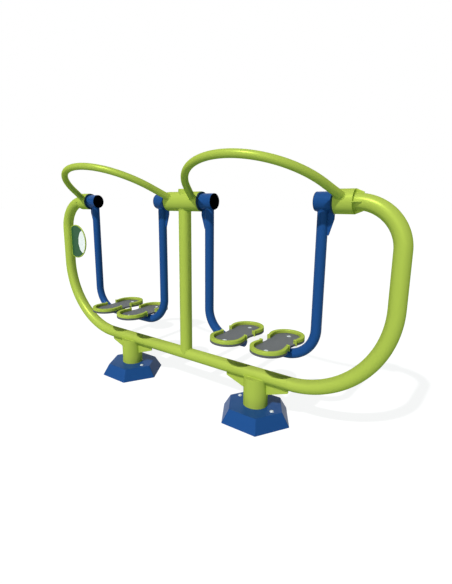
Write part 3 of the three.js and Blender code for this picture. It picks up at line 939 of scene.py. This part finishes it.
class AIRWALKER_OT_main_frame(PieceOperator):
    """Build the two bent halves of the main tube and the rail between them"""

    bl_idname = "air_walker.main_frame"
    bl_label = "Main frame"

    def build(self, settings):
        sizes = settings.frame
        lime = lime_coat(settings.finishes)
        welds = Maker()
        for name, end in ENDS.items():
            maker = Maker().rings(bend_path(end, sizes).rings(TUBE_RADIUS))
            maker.piece(f"bend_tube_{name}", lime, "frame", "lime_paint", [f"frame_bend_{name}"])
            root = at(outer_end(sizes), AXLE.z, end).translation
            weld_round(welds, root, end.to_3x3() @ SIDEWAYS, TUBE_RADIUS, sizes)
        welds.piece("bend_tube_welds", lime_weld(settings.finishes), "frame", "lime_paint")
        rail = BentPath(MIDPLANE, -RAIL_HALF_LENGTH, RAIL_HEIGHT, 0)
        rail.straight(2 * RAIL_HALF_LENGTH)
        maker = Maker().rings(rail.rings(TUBE_RADIUS))
        maker.piece("rail_tube", lime, "frame", "lime_paint", ["bottom_rail"])


class AIRWALKER_OT_centre_post(PieceOperator):
    """Build the centre post, coped to the rail, and its welded lid"""

    bl_idname = "air_walker.centre_post"
    bl_label = "Centre post"

    def build(self, settings):
        sizes = settings.frame
        lime = lime_coat(settings.finishes)
        rail_line = at(0, RAIL_HEIGHT).translation
        axle_line = at(0, AXLE.z).translation
        path = BentPath(MIDPLANE, 0, RAIL_HEIGHT, QUARTER).straight(POST_TOP - RAIL_HEIGHT)
        rings = path.rings(TUBE_RADIUS)
        rings[0] = leave_round(rings[0], UPWARDS, rail_line, SIDEWAYS, TUBE_RADIUS)
        maker = Maker().rings(rings)
        maker.piece("centre_post_tube", lime, "frame", "lime_paint", ["centre_post"])

        edge = (POST_LID_TOP - POST_TOP) / 3
        outline = rounded([
            (POST_TOP, 0, 0), (POST_TOP, TUBE_RADIUS, 0),
            (POST_LID_TOP, TUBE_RADIUS, edge), (POST_LID_TOP, 0, 0),
        ])
        lid = Maker().lathe(outline, MIDPLANE @ POINT_UP)
        lid.piece("centre_post_lid", lime, "frame", "lime_paint", ["centre_post_cap"])

        welds = Maker()
        rail = (rail_line, SIDEWAYS, TUBE_RADIUS)
        housing = (axle_line, SIDEWAYS, HOUSING_RADIUS)
        weld_round(welds, rail_line, UPWARDS, TUBE_RADIUS, sizes, rail)
        for way in (UPWARDS, -UPWARDS):
            weld_round(welds, axle_line, way, TUBE_RADIUS, sizes, housing)
        welds.piece("centre_post_welds", lime_weld(settings.finishes), "frame", "lime_paint")


class AIRWALKER_OT_housings(PieceOperator):
    """Build the centre housing and the two finned outer housings"""

    bl_idname = "air_walker.housings"
    bl_label = "Bearing housings"

    def build(self, settings):
        edge = settings.frame.housing_edge
        bore = settings.frame.housing_bore
        outline = rounded([
            (-CENTRE_FACE, bore, 0), (-CENTRE_FACE, HOUSING_RADIUS, edge),
            (CENTRE_FACE, HOUSING_RADIUS, edge), (CENTRE_FACE, bore, 0),
        ])
        maker = Maker().lathe(outline, at(0, AXLE.z))
        lime = lime_coat(settings.finishes)
        maker.piece("centre_housing_tube", lime, "frame", "lime_paint", ["centre_housing"])
        for name, end in ENDS.items():
            self.outer_housing(name, end, settings.frame, settings.finishes)

    def outer_housing(self, name, end, sizes, finishes):
        last = outer_end(sizes)
        floor = last - sizes.end_wall
        edge = sizes.housing_edge
        bore = sizes.housing_bore
        outline = rounded([
            (floor, 0, 0), (floor, bore, 0), (OUTER_FACE, bore, 0),
            (OUTER_FACE, HOUSING_RADIUS, edge), (last, HOUSING_RADIUS, edge), (last, 0, 0),
        ])
        place = at(0, AXLE.z, end)
        maker = Maker().lathe(outline, place)
        welds = Maker()
        for i in range(FIN_COUNT):
            turn = Matrix.Rotation(2 * math.pi * i / FIN_COUNT, 4, "X")
            self.fin(maker, welds, place @ turn @ STAND_UP, last, sizes)
        maker.piece(
            f"outer_housing_shell_{name}", lime_coat(finishes), "frame", "lime_paint",
            [f"outer_housing_{name}"], edge=SMALL_PLATE_ROUND,
        )
        welds.piece(f"fin_welds_{name}", lime_weld(finishes), "frame", "lime_paint")

    def fin(self, maker, welds, place, last, sizes):
        """A plate between the housing's end and the tube, welded to the tube on both sides"""
        edge = sizes.housing_edge
        tip = last + sizes.fin_length
        root = TUBE_RADIUS * FIN_ROOT_SHARE
        outline = [
            (last - edge, root), (last - edge, HOUSING_RADIUS), (last, HOUSING_RADIUS),
            (tip, sizes.fin_tip), (tip, root),
        ]
        maker.prism(outline, sizes.fin_thickness, place)
        for side in (-1, 1):
            depth = side * sizes.fin_thickness / 2
            start = place @ Vector((last + edge, TUBE_RADIUS, depth))
            finish = place @ Vector((tip - edge, TUBE_RADIUS, depth))
            welds.seam(start, finish, place.to_3x3() @ Vector((0, 0, side)), sizes)


class AIRWALKER_OT_handrails(PieceOperator):
    """Build the two bent handrails, coped to the housings that carry them"""

    bl_idname = "air_walker.handrails"
    bl_label = "Handrails"

    def build(self, settings):
        rail = settings.handrail
        half_angle = rail.arc_half_angle
        foot_height = HOUSING_RADIUS / 2
        arc_end = rail.arc_place + rail.arc_radius * math.cos(half_angle)
        run = (arc_end - foot_height) / math.sin(half_angle)
        start = -rail.arc_radius * math.sin(half_angle) - run * math.cos(half_angle)
        tilt = Matrix.Rotation(QUARTER - rail.tilt, 4, "X")
        for name, side in (("left", -1), ("right", 1)):
            place = at(side * STATION, AXLE.z) @ tilt
            path = BentPath(place, start, foot_height, half_angle).straight(run)
            path.bend(rail.arc_radius, -2 * half_angle, HANDRAIL_STEPS).straight(run)
            self.handrail(name, path, rail.diameter / 2, settings)

    def handrail(self, name, path, radius, settings):
        """The bar along a path, with a weld at both ends"""
        rings = path.rings(radius)
        welds = Maker()
        housing = (path.place.translation, SIDEWAYS, HOUSING_RADIUS)
        for which, way in ((0, path.end_way(0)), (-1, -path.end_way(-1))):
            rings[which] = leave_round(rings[which], way, *housing)
            centre = path.place @ path.stops[which][0]
            weld_round(welds, centre, way, radius, settings.frame, housing)
        lime = lime_coat(settings.finishes)
        bar = Maker().rings(rings)
        bar.piece(f"handrail_bar_{name}", lime, "frame", "lime_paint", [f"handrail_{name}"])
        weld_coat = lime_weld(settings.finishes)
        welds.piece(f"handrail_welds_{name}", weld_coat, "frame", "lime_paint")


# Feet


def rail_underside(y):
    """Height of the bottom rail's underside at a place across the machine"""
    return RAIL_HEIGHT - math.sqrt(TUBE_RADIUS ** 2 - y ** 2)


def notched_post(maker, place):
    """A round post whose flat top is notched for the rail that lies across it"""
    notch_angle = math.asin(NOTCH_HALF_WIDTH / FOOT_RADIUS)
    turns = [math.pi * (i / FOOT_POST_STEPS - 0.5) for i in range(FOOT_POST_STEPS + 1)]
    rings = []
    for turn in sorted(turns + [-notch_angle, notch_angle]):
        y = FOOT_RADIUS * math.sin(turn)
        x = FOOT_RADIUS * math.cos(turn)
        top = rail_underside(y) if abs(y) < NOTCH_HALF_WIDTH else FOOT_TOP
        rings.append([
            place @ Vector(corner)
            for corner in ((-x, y, top), (x, y, top), (x, y, FOOT_BOTTOM), (-x, y, FOOT_BOTTOM))
        ])
    maker.rings(rings, capped=False)


def notch_weld(maker, place, sizes):
    """The weld bead that runs round the rail where it lies in the post"""
    half_length = math.sqrt(FOOT_RADIUS ** 2 - NOTCH_HALF_WIDTH ** 2)
    lid_steps = round(2 * half_length / WELD_STEP)
    wall_steps = round(math.pi * TUBE_RADIUS / WELD_STEP / NOTCH_STEP_SHARE)
    points = []
    for side in (1, -1):
        for i in range(lid_steps):
            x = side * half_length * (1 - 2 * i / lid_steps)
            points.append(Vector((x, side * NOTCH_HALF_WIDTH, FOOT_TOP)))
        for i in range(wall_steps):
            y = side * NOTCH_HALF_WIDTH * (1 - 2 * i / wall_steps)
            x = -side * math.sqrt(FOOT_RADIUS ** 2 - y ** 2)
            points.append(Vector((x, y, rail_underside(y))))
    outwards = [Vector((0, point.y, point.z - RAIL_HEIGHT)) for point in points]
    maker.weld([place @ point for point in points], outwards, sizes)


class AIRWALKER_OT_feet(PieceOperator):
    """Build the two foot posts with their gussets"""

    bl_idname = "air_walker.feet"
    bl_label = "Feet"

    def build(self, settings):
        lime = lime_coat(settings.finishes)
        weld_coat = lime_weld(settings.finishes)
        for name, end in ENDS.items():
            place = at(FOOT_PLACE, 0, end)
            post = Maker()
            notched_post(post, place)
            node = f"foot_post_{name}"
            post.piece(f"foot_post_tube_{name}", lime, "frame", "lime_paint", [node], merge=True)
            gussets = Maker()
            welds = Maker()
            notch_weld(welds, place, settings.frame)
            for turn in (Matrix.Identity(4), HALF_TURN):
                self.gusset(gussets, welds, place @ turn, settings.foot, settings.frame)
            gussets.piece(
                f"foot_gussets_{name}", lime, "frame", "lime_paint", edge=SMALL_PLATE_ROUND,
            )
            welds.piece(f"foot_welds_{name}", weld_coat, "frame", "lime_paint")
            refinish(f"foot_flange_{name}", turned_steel(settings.finishes))

    def gusset(self, gussets, welds, place, sizes, weld_sizes):
        """A plate between the post and the rail, welded to both on each side"""
        half = sizes.gusset_thickness / 2
        top = rail_underside(half)
        root = RAIL_HEIGHT - sizes.gusset_root_drop
        tip = RAIL_HEIGHT - sizes.gusset_tip_drop
        wall = math.sqrt(FOOT_RADIUS ** 2 - half ** 2)
        outline = rounded([
            (wall, root, 0), (GUSSET_REACH, tip, sizes.gusset_corner),
            (GUSSET_REACH, top, 0), (wall, top, 0),
        ])
        gussets.prism(outline, sizes.gusset_thickness, place @ STAND_UP)
        for side in (-1, 1):
            outward = place.to_3x3() @ Vector((0, side, 0))
            corners = [
                place @ Vector((x, side * half, z))
                for x, z in ((wall, root), (wall, top), (GUSSET_REACH, top))
            ]
            for start, finish in zip(corners, corners[1:]):
                welds.seam(start, finish, outward, weld_sizes)


def hexagon(apothem, height, corner):
    """A ring of points on a hexagon with rounded corners, two of which lie on the X axis"""
    reach = apothem / math.cos(SIXTH / 2)
    points = rounded([
        (reach * math.cos(SIXTH * i), reach * math.sin(SIXTH * i), corner) for i in range(6)
    ])
    ring = []
    per_corner = CORNER_STEPS + 1
    for i, point in enumerate(points):
        ring.append(point)
        if i % per_corner == per_corner - 1:
            following = points[(i + 1) % len(points)]
            shares = [j / HEXAGON_SIDE_STEPS for j in range(1, HEXAGON_SIDE_STEPS)]
            ring.extend(point.lerp(following, way) for way in shares)
    return [Vector((point.x, point.y, height)) for point in ring]


def circle_under(ring, radius, height):
    """A circle with a point at the same angle as each point of a ring"""
    return [Vector((*(point.xy.normalized() * radius), height)) for point in ring]


def add_bolt(maker, place, radius, height):
    """A button head on a washer, with a hexagon socket"""
    washer = height * WASHER_HEIGHT_SHARE
    washer_radius = radius * WASHER_RADIUS_SHARE
    socket = radius * SOCKET_SHARE
    mouth = socket * SOCKET_MOUTH_SHARE
    outline = [
        (0, washer_radius), (washer * WASHER_EDGE_SHARE, washer_radius),
        (washer, washer_radius * WASHER_TOP_SHARE), (washer, radius),
    ]
    for i in range(1, DOME_STEPS + 1):
        lean = QUARTER * i / DOME_STEPS
        lift = DOME_START_SHARE + (1 - DOME_START_SHARE) * math.sin(lean)
        reach = mouth + (radius - mouth) * math.cos(lean)
        outline.append((washer + (height - washer) * lift, reach))
    turns = [2 * math.pi * i / BOLT_SIDES for i in range(BOLT_SIDES)]
    rows = [[(turn, reach, level) for turn in turns] for level, reach in outline]
    flat = socket * SOCKET_FLAT_SHARE
    for level in (height, height * SOCKET_FLOOR_SHARE):
        rows.append([
            (turn, flat / math.cos((turn + SIXTH / 2) % SIXTH - SIXTH / 2), level)
            for turn in turns
        ])
    maker.rings([
        [
            place @ Vector((reach * math.cos(turn), reach * math.sin(turn), level))
            for turn, reach, level in row
        ]
        for row in rows
    ])


class AIRWALKER_OT_covers(PieceOperator):
    """Build the two hexagonal foot covers and their bolts"""

    bl_idname = "air_walker.covers"
    bl_label = "Foot covers"

    def build(self, settings):
        sizes = settings.foot
        blue = blue_coat(settings.finishes)
        bright = zinc(settings.finishes)
        for name, end in ENDS.items():
            node = f"foot_cover_{name}"
            place = at(FOOT_PLACE, 0, end)
            rings = [[place @ point for point in ring] for ring in self.cover_rings(sizes)]
            shell = Maker().rings(rings, looped=True)
            shell.piece(f"foot_cover_shell_{name}", blue, "frame", "blue_paint", [node])
            bolts = Maker()
            for side in (-1, 1):
                across = (side * sizes.bolt_reach, -side * sizes.bolt_offset, 0)
                spot = at(middle(node, X), COVER_HEIGHT) @ Matrix.Translation(across)
                add_bolt(bolts, spot, sizes.bolt_radius, sizes.bolt_height)
            bolts.piece(f"cover_bolts_{name}", bright, "frame", "bare_steel")

    def cover_rings(self, sizes):
        """From the foot of the skirt up, in to the post and back under the sheet"""
        outside = COVER_BOTTOM_RADIUS * math.cos(SIXTH / 2)
        slope = (outside - sizes.cover_top_radius * math.cos(SIXTH / 2)) / COVER_HEIGHT
        hole = FOOT_RADIUS + sizes.cover_hole_gap
        wall = sizes.cover_wall
        inner_top = COVER_HEIGHT - wall
        corner = sizes.cover_edge * COVER_CORNER_SHARE
        skirt = rounded([
            (outside, 0, 0), (outside - slope * COVER_HEIGHT, COVER_HEIGHT, sizes.cover_edge),
            (hole, COVER_HEIGHT, 0),
        ])[:-1]
        rings = [hexagon(apothem, height, corner) for apothem, height in skirt]
        guide = rings[0]
        rings.append(circle_under(guide, hole, COVER_HEIGHT))
        rings.append(circle_under(guide, hole, inner_top))
        rings.append(hexagon(outside - slope * inner_top - wall, inner_top, corner))
        rings.append(hexagon(outside - wall, 0, corner))
        return rings


# Sign plate


def oval_arc(oval, limit, steps):
    """The part of an oval that reaches from its right end up to a limit on both sides"""
    centre, half_width, half_height = oval
    turns = [limit * (2 * i / steps - 1) for i in range(steps + 1)]
    return [
        (centre + half_width * math.cos(turn), SIGN_HEIGHT + half_height * math.sin(turn))
        for turn in turns
    ]


def clipped_oval(oval, edge):
    """An oval that ends in a straight edge on its left"""
    centre, half_width, _ = oval
    return oval_arc(oval, math.acos((edge - centre) / half_width), OVAL_STEPS)


def lens(oval, half_height, bulge):
    """A field between an oval's right end and an arc that bulges to the left"""
    right = oval_arc(oval, math.asin(half_height / oval[2]), BARE_FIELD_STEPS)
    tip = right[-1][0]
    leans = [math.pi * (0.5 - i / BARE_FIELD_STEPS) for i in range(1, BARE_FIELD_STEPS)]
    return right + [
        (tip - bulge * math.cos(lean), SIGN_HEIGHT + half_height * math.sin(lean))
        for lean in leans
    ]


class AIRWALKER_OT_sign(PieceOperator):
    """Build the oval sign plate with a plain green field and a bare white one"""

    bl_idname = "air_walker.sign"
    bl_label = "Sign plate"

    def build(self, settings):
        sizes = settings.sign
        finishes = settings.finishes
        inset = sizes.border
        weld_edge = -UPRIGHT + TUBE_RADIUS
        centre = SIGN_INNER_END - sizes.half_width
        plate = (centre, sizes.half_width, SIGN_HALF_HEIGHT)
        film = (centre, sizes.half_width - inset, SIGN_HALF_HEIGHT - inset)
        body = Maker().prism(clipped_oval(plate, weld_edge), SIGN_THICKNESS, MIDPLANE @ STAND_UP)
        body.piece(
            "sign_body", lime_coat(finishes), "frame", "sign_face", ["sign_plate"],
            edge=SMALL_PLATE_ROUND,
        )
        front = -SIGN_THICKNESS / 2
        field = clipped_oval(film, weld_edge + inset / 2)
        bare = lens(film, sizes.bare_half_height, sizes.bare_bulge)
        for name, outline, material, height in (
            ("sign_field", field, sign_green(finishes), sizes.film),
            ("sign_bare_field", bare, sign_white(finishes), 2 * sizes.film),
        ):
            place = MIDPLANE @ Matrix.Translation((0, front - height / 2, 0)) @ STAND_UP
            Maker().prism(outline, height, place).piece(name, material, "frame", "sign_face")
        welds = Maker()
        reach = SIGN_HALF_HEIGHT * math.sqrt(1 - ((centre - weld_edge) / sizes.half_width) ** 2)
        for side in (-1, 1):
            start, finish = (
                MIDPLANE @ Vector((weld_edge, side * SIGN_THICKNESS / 2, SIGN_HEIGHT + way))
                for way in (-reach, reach)
            )
            welds.seam(start, finish, Vector((0, side, 0)), settings.frame)
        welds.piece("sign_welds", lime_weld(finishes), "frame", "lime_paint")


# Swinging legs


def leg_place(name):
    """From the housing's face at X = 0 towards the station, with the axle at Z = 0"""
    towards = middle(f"pedal_{name}", X) - AXLES[name].x
    turn = Matrix.Identity(4) if towards > 0 else HALF_TURN
    return Matrix.Translation(AXLES[name]) @ turn


def along_leg(name, node):
    """A node's near and far end along the axle, measured from the housing's face"""
    return sorted(abs(corner[X] - AXLES[name].x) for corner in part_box(node))


class AIRWALKER_OT_legs(PieceOperator):
    """Build the four swinging legs with their hubs, end caps and dust seals"""

    bl_idname = "air_walker.legs"
    bl_label = "Swinging legs"

    def build(self, settings):
        for name in LEGS:
            place = leg_place(name)
            self.hub(name, place, settings)
            self.end_cap(name, place, settings)
            self.dust_seal(name, place, settings)
            self.leg(name, place, settings)
            for node in (f"axle_{name}", f"bearing_front_{name}", f"bearing_rear_{name}"):
                refinish(node, turned_steel(settings.finishes))

    def hub(self, name, place, settings):
        """A short cylinder, open at its far end as far as the end cap covers it"""
        node = f"hub_{name}"
        start, end = along_leg(name, node)
        radius = extent(node, Z) / 2
        edge = settings.leg.hub_edge
        bore = extent(f"end_cap_{name}", Z) / 2 * HUB_BORE_SHARE
        floor = end - bore * HUB_DEPTH_SHARE
        outline = rounded([
            (floor, 0, 0), (floor, bore, 0), (end, bore, 0), (end, radius, edge / 2),
            (start, radius, edge), (start, 0, 0),
        ])
        blue = blue_coat(settings.finishes)
        shell = Maker().lathe(outline, place)
        shell.piece(f"hub_shell_{name}", blue, f"swing_{name}", "blue_paint", [node])

    def end_cap(self, name, place, settings):
        """A crowned cap with a short straight edge"""
        node = f"end_cap_{name}"
        start = along_leg(name, f"hub_{name}")[1] + SEAT_GAP
        end = along_leg(name, node)[1]
        radius = extent(node, Z) / 2
        brim = start + settings.leg.cap_edge
        crown = [
            (brim + (end - brim) * math.sin(lean), radius * math.cos(lean) ** CROWN_POWER)
            for lean in (QUARTER * i / CAP_STEPS for i in range(CAP_STEPS))
        ]
        black = black_plastic(settings.finishes)
        disc = Maker().lathe([(start, 0), (start, radius), *crown, (end, 0)], place)
        disc.piece(f"end_cap_disc_{name}", black, f"swing_{name}", "black_plastic", [node])

    def dust_seal(self, name, place, settings):
        """A thin rubber ring between the hub and the housing"""
        node = f"dust_seal_{name}"
        start, end = along_leg(name, node)
        radius = extent(node, Z) / 2
        lip = (end - start) / 4
        outline = rounded([
            (start, radius / 2, 0), (start, radius, lip), (end, radius, lip), (end, radius / 2, 0),
        ])
        rubber = black_rubber(settings.finishes)
        ring = Maker().lathe(outline, place)
        ring.piece(f"dust_seal_ring_{name}", rubber, f"swing_{name}", "black_rubber", [node])

    def leg(self, name, place, settings):
        """The bent tube, coped to the hub, with its welds, its gusset and the pedal's bar"""
        sizes = settings.leg
        node = f"leg_{name}"
        radius = sizes.diameter / 2
        hub_radius = extent(f"hub_{name}", Z) / 2
        drop = AXLE.z - low(node, Z) - radius
        end = along_leg(name, node)[1]
        path = BentPath(place, sizes.place, -hub_radius / 2, -QUARTER)
        path.straight(drop - sizes.bend - hub_radius / 2)
        path.bend(sizes.bend, QUARTER, LEG_BEND_STEPS)
        path.straight(end - sizes.place - sizes.bend - sizes.hub_edge)
        rings = path.rings(radius)
        way = path.end_way(0)
        hub = (place.translation, SIDEWAYS, hub_radius)
        rings[0] = leave_round(rings[0], way, *hub)
        path.straight(sizes.hub_edge)
        rings.append(path.rings(radius - sizes.hub_edge)[-1])
        blue = blue_coat(settings.finishes)
        body = f"swing_{name}"
        Maker().rings(rings).piece(f"leg_tube_{name}", blue, body, "blue_paint", [node])

        welds = Maker()
        plates = Maker()
        weld_round(welds, place @ path.stops[0][0], way, radius, settings.frame, hub)
        self.gusset(name, place, plates, welds, settings)
        self.pedal_bar(name, place, plates, sizes)
        welds.piece(f"leg_welds_{name}", blue_weld(settings.finishes), body, "blue_paint")
        plates.piece(f"leg_plates_{name}", blue, body, "blue_paint", edge=SMALL_PLATE_ROUND)

    def gusset(self, name, place, plates, welds, settings):
        """The plate in the corner between the hub and the tube"""
        sizes = settings.leg
        radius = sizes.diameter / 2
        hub_radius = extent(f"hub_{name}", Z) / 2
        under_hub = -hub_radius * HUB_ROOT_SHARE
        under_seal = -(extent(f"dust_seal_{name}", Z) / 2 + sizes.seal_gap)
        hub_start = along_leg(name, f"hub_{name}")[0]
        tube_side = sizes.place - radius * GUSSET_ROOT_SHARE
        outline = [
            (sizes.gusset_gap, under_seal), (sizes.gusset_gap, -sizes.gusset_shoulder),
            (tube_side - sizes.gusset_step, -sizes.gusset_drop), (tube_side, -sizes.gusset_drop),
            (tube_side, under_hub), (hub_start, under_hub), (hub_start, under_seal),
        ]
        plates.prism(outline, sizes.gusset_thickness, place @ STAND_UP)
        top = -hub_radius - 2 * settings.frame.weld
        for side in (-1, 1):
            start, finish = (
                place @ Vector((sizes.place - radius, side * sizes.gusset_thickness / 2, height))
                for height in (top, -sizes.gusset_drop)
            )
            welds.seam(start, finish, place.to_3x3() @ Vector((0, side, 0)), settings.frame)

    def pedal_bar(self, name, place, plates, sizes):
        """The flat bar that lies on the tube and carries the pedal"""
        pedal = f"pedal_{name}"
        half_length = sizes.bar_length / 2
        half_width = sizes.bar_width / 2
        centre = abs(middle(pedal, X) - AXLES[name].x)
        outline = rounded([
            (centre + side * half_width, end * half_length, sizes.bar_thickness)
            for side, end in ((1, -1), (1, 1), (-1, 1), (-1, -1))
        ])
        height = low(pedal, Z) - AXLE.z - sizes.bar_thickness / 2
        plates.prism(outline, sizes.bar_thickness, place @ Matrix.Translation((0, 0, height)))


# Pedals


def lobe_edge(start, waist, lobe, sizes):
    """From the right side at a start, round the rear lobe to the left side"""
    side = []
    for i in range(WAIST_STEPS):
        y = start + (sizes.lobe_place - start) * i / WAIST_STEPS
        swell = (1 - math.cos(math.pi * y / sizes.lobe_place)) / 2
        side.append(Vector((waist + (lobe - waist) * swell, y)))
    centre = Vector((0, sizes.lobe_place))
    turns = [math.pi * i / LOBE_STEPS for i in range(LOBE_STEPS + 1)]
    round_end = [centre + lobe * Vector((math.cos(turn), math.sin(turn))) for turn in turns]
    other_side = [Vector((-point.x, point.y)) for point in reversed(side)]
    return side + round_end + other_side


class AIRWALKER_OT_pedals(PieceOperator):
    """Build the four pedals with their rims and bolts"""

    bl_idname = "air_walker.pedals"
    bl_label = "Pedals"

    def build(self, settings):
        sizes = settings.pedal
        finishes = settings.finishes
        rear = lobe_edge(0, sizes.waist, sizes.lobe_radius, sizes)
        front = [-point for point in rear[1:-1]]
        for name in LEGS:
            node = f"pedal_{name}"
            body = f"swing_{name}"
            bottom, top = low(node, Z), high(node, Z)
            centre = Matrix.Translation((middle(node, X), AXLE.y, 0))
            level = centre @ Matrix.Translation((0, 0, (bottom + top) / 2))
            plate = Maker().prism(rear + front, top - bottom, level)
            plate.piece(
                f"pedal_plate_{name}", tread_plastic(finishes), body, "grey_tread", [node],
                edge=sizes.edge,
            )
            self.rim(f"rear_{name}", body, centre, top, settings)
            self.rim(f"front_{name}", body, centre @ HALF_TURN, top, settings)
            bolts = Maker()
            for side in (-1, 1):
                spot = centre @ Matrix.Translation((0, side * sizes.bolt_place, top))
                add_bolt(bolts, spot, sizes.bolt_radius, sizes.bolt_height)
            bolts.piece(f"pedal_bolts_{name}", zinc(finishes), body, "bare_steel")

    def rim(self, name, body, place, bottom, settings):
        """The raised rim round one lobe, and the plates that close its two ends"""
        sizes = settings.pedal
        lime = lime_coat(settings.finishes)
        node = f"rim_{name}"
        outer = lobe_edge(sizes.rim_start, sizes.waist, sizes.lobe_radius, sizes)
        inner_waist = sizes.waist - sizes.rim_waist_width
        inner_lobe = sizes.lobe_radius - sizes.rim_width
        inner = lobe_edge(sizes.rim_start, inner_waist, inner_lobe, sizes)
        rise = Matrix.Translation((0, 0, bottom + sizes.rim_height / 2))
        rail = Maker().prism(outer + inner[::-1], sizes.rim_height, place @ rise)
        rail.piece(f"rim_rail_{name}", lime, body, "lime_paint", [node], edge=sizes.rim_edge)
        plates = Maker()
        corners = self.end_plate(outer[0].x, inner[0].x, low(node, Z), high(node, Z), sizes)
        depth = Matrix.Translation((0, sizes.rim_start + sizes.end_plate / 2, 0))
        for outline in (corners, [(-x, z) for x, z in corners]):
            plates.prism(outline, sizes.end_plate, place @ depth @ STAND_UP)
        plates.piece(f"rim_ends_{name}", lime, body, "lime_paint", edge=SMALL_PLATE_ROUND)

    def end_plate(self, outer, inner, bottom, top, sizes):
        """The plate that closes a rim's right end, with its upper corners rounded"""
        soft = sizes.end_plate / 2
        reach = outer + sizes.end_plate_reach
        return rounded([
            (inner, bottom, 0), (reach, bottom, 0), (reach, top, soft), (inner, top, soft),
        ])


# Studio


def seen_directly(tree):
    """1 for rays from the camera, off a glossy surface or through glass, and else 0"""
    path = add_node(tree, "ShaderNodeLightPath").outputs
    seen = calculate(tree, "MAXIMUM", path["Is Camera Ray"], path["Is Glossy Ray"])
    return calculate(tree, "MAXIMUM", seen, path["Is Transmission Ray"])


def grey(level):
    return (level, level, level, 1.0)


class AIRWALKER_OT_stage(bpy.types.Operator):
    """Set up the pale floor, the plain light and the camera"""

    bl_idname = "air_walker.stage"
    bl_label = "Studio"
    bl_options = {"REGISTER", "UNDO"}

    def execute(self, context):
        studio = context.scene.air_walker.studio
        context.scene.view_settings.view_transform = "Standard"
        context.scene.world = self.world(studio)
        self.lamp("main_light", studio.sun, studio.sun_width, studio.sun_way)
        self.lamp("soft_light", studio.fill, studio.soft_width, studio.fill_way)
        self.lamp("back_light", studio.back, studio.soft_width, studio.back_way)
        self.floor(studio)
        context.scene.camera = self.camera(studio)
        return {"FINISHED"}

    def world(self, studio):
        """White where it is seen, and a dim coloured light on the machine"""
        world = bpy.data.worlds.new("plain_light")
        world.use_nodes = True
        tree = world.node_tree
        seen = seen_directly(tree)
        rise = calculate(tree, "MULTIPLY", seen, 1.0 - studio.ambient)
        background = tree.nodes["Background"]
        hue = mix_colour(tree, seen, tuple(studio.shade), grey(1.0))
        tree.links.new(hue, background.inputs["Color"])
        tree.links.new(calculate(tree, "ADD", rise, studio.ambient), background.inputs["Strength"])
        return world

    def lamp(self, name, strength, width, way):
        light = bpy.data.lights.new(name, "SUN")
        light.energy = strength
        light.angle = width
        lamp = new_object(name, light)
        lamp.rotation_euler = Vector(way).to_track_quat("-Z", "Y").to_euler()

    def floor(self, studio):
        half = studio.floor_size
        corners = [(-half, -half, 0), (half, -half, 0), (half, half, 0), (-half, half, 0)]
        data = bpy.data.meshes.new("studio_floor")
        data.from_pydata(corners, [], [range(len(corners))])
        data.materials.append(self.floor_material(studio))
        floor = new_object("studio_floor", data)

    def floor_material(self, studio):
        """White to the eye with the machine's faint shadow on it, and darker to bouncing light"""
        material = bpy.data.materials.new("pale_floor")
        material.use_nodes = True
        tree = material.node_tree
        tree.nodes.clear()

        def shader(kind, **inputs):
            return add_node(tree, kind, inputs).outputs[0]

        shade = shader("ShaderNodeBsdfDiffuse", Color=grey(studio.floor_shade))
        glow = shader("ShaderNodeEmission", Color=grey(1.0), Strength=studio.floor_glow)
        thrown = tuple(studio.floor_bounce * channel for channel in studio.shade[:3]) + (1.0,)
        bounce = shader("ShaderNodeBsdfDiffuse", Color=thrown)
        both = add_node(tree, "ShaderNodeAddShader", {0: shade, 1: glow}).outputs[0]
        sides = {0: seen_directly(tree), 1: bounce, 2: both}
        mixed = add_node(tree, "ShaderNodeMixShader", sides).outputs[0]
        add_node(tree, "ShaderNodeOutputMaterial", {"Surface": mixed})
        return material

    def camera(self, studio):
        data = bpy.data.cameras.new("photo_camera")
        data.sensor_fit = "HORIZONTAL"
        data.lens = studio.focal
        width = studio.view_width
        height = studio.view_height
        data.shift_x = (width / 2 - studio.centre_x) / width
        data.shift_y = (studio.centre_y - height / 2) / width
        camera = new_object("photo_camera", data)
        camera.location = studio.place
        camera.rotation_euler = (QUARTER - studio.pitch, 0, studio.heading)
        return camera


# Registration

BUILDERS = (
    AIRWALKER_OT_stage,
    AIRWALKER_OT_main_frame,
    AIRWALKER_OT_centre_post,
    AIRWALKER_OT_housings,
    AIRWALKER_OT_handrails,
    AIRWALKER_OT_feet,
    AIRWALKER_OT_covers,
    AIRWALKER_OT_sign,
    AIRWALKER_OT_legs,
    AIRWALKER_OT_pedals,
)


class AIRWALKER_PT_builders(bpy.types.Panel):
    """The operators in the order in which they are used"""

    bl_label = "Air walker"
    bl_idname = "AIRWALKER_PT_builders"
    bl_space_type = "VIEW_3D"
    bl_region_type = "UI"
    bl_category = "Air walker"

    def draw(self, context):
        for builder in BUILDERS:
            self.layout.operator(builder.bl_idname)


CLASSES = (
    FrameSizes,
    HandrailSizes,
    FootSizes,
    SignSizes,
    LegSizes,
    PedalSizes,
    Finishes,
    StudioSettings,
    AirWalkerSettings,
    *BUILDERS,
    AIRWALKER_PT_builders,
)


def register():
    for cls in CLASSES:
        bpy.utils.register_class(cls)
    bpy.types.Scene.air_walker = PointerProperty(type=AirWalkerSettings)


def unregister():
    del bpy.types.Scene.air_walker
    for cls in reversed(CLASSES):
        bpy.utils.unregister_class(cls)


def main():
    register()
    for builder in BUILDERS:
        group, name = builder.bl_idname.split(".")
        getattr(getattr(bpy.ops, group), name)()


if __name__ == "__main__":
    main()
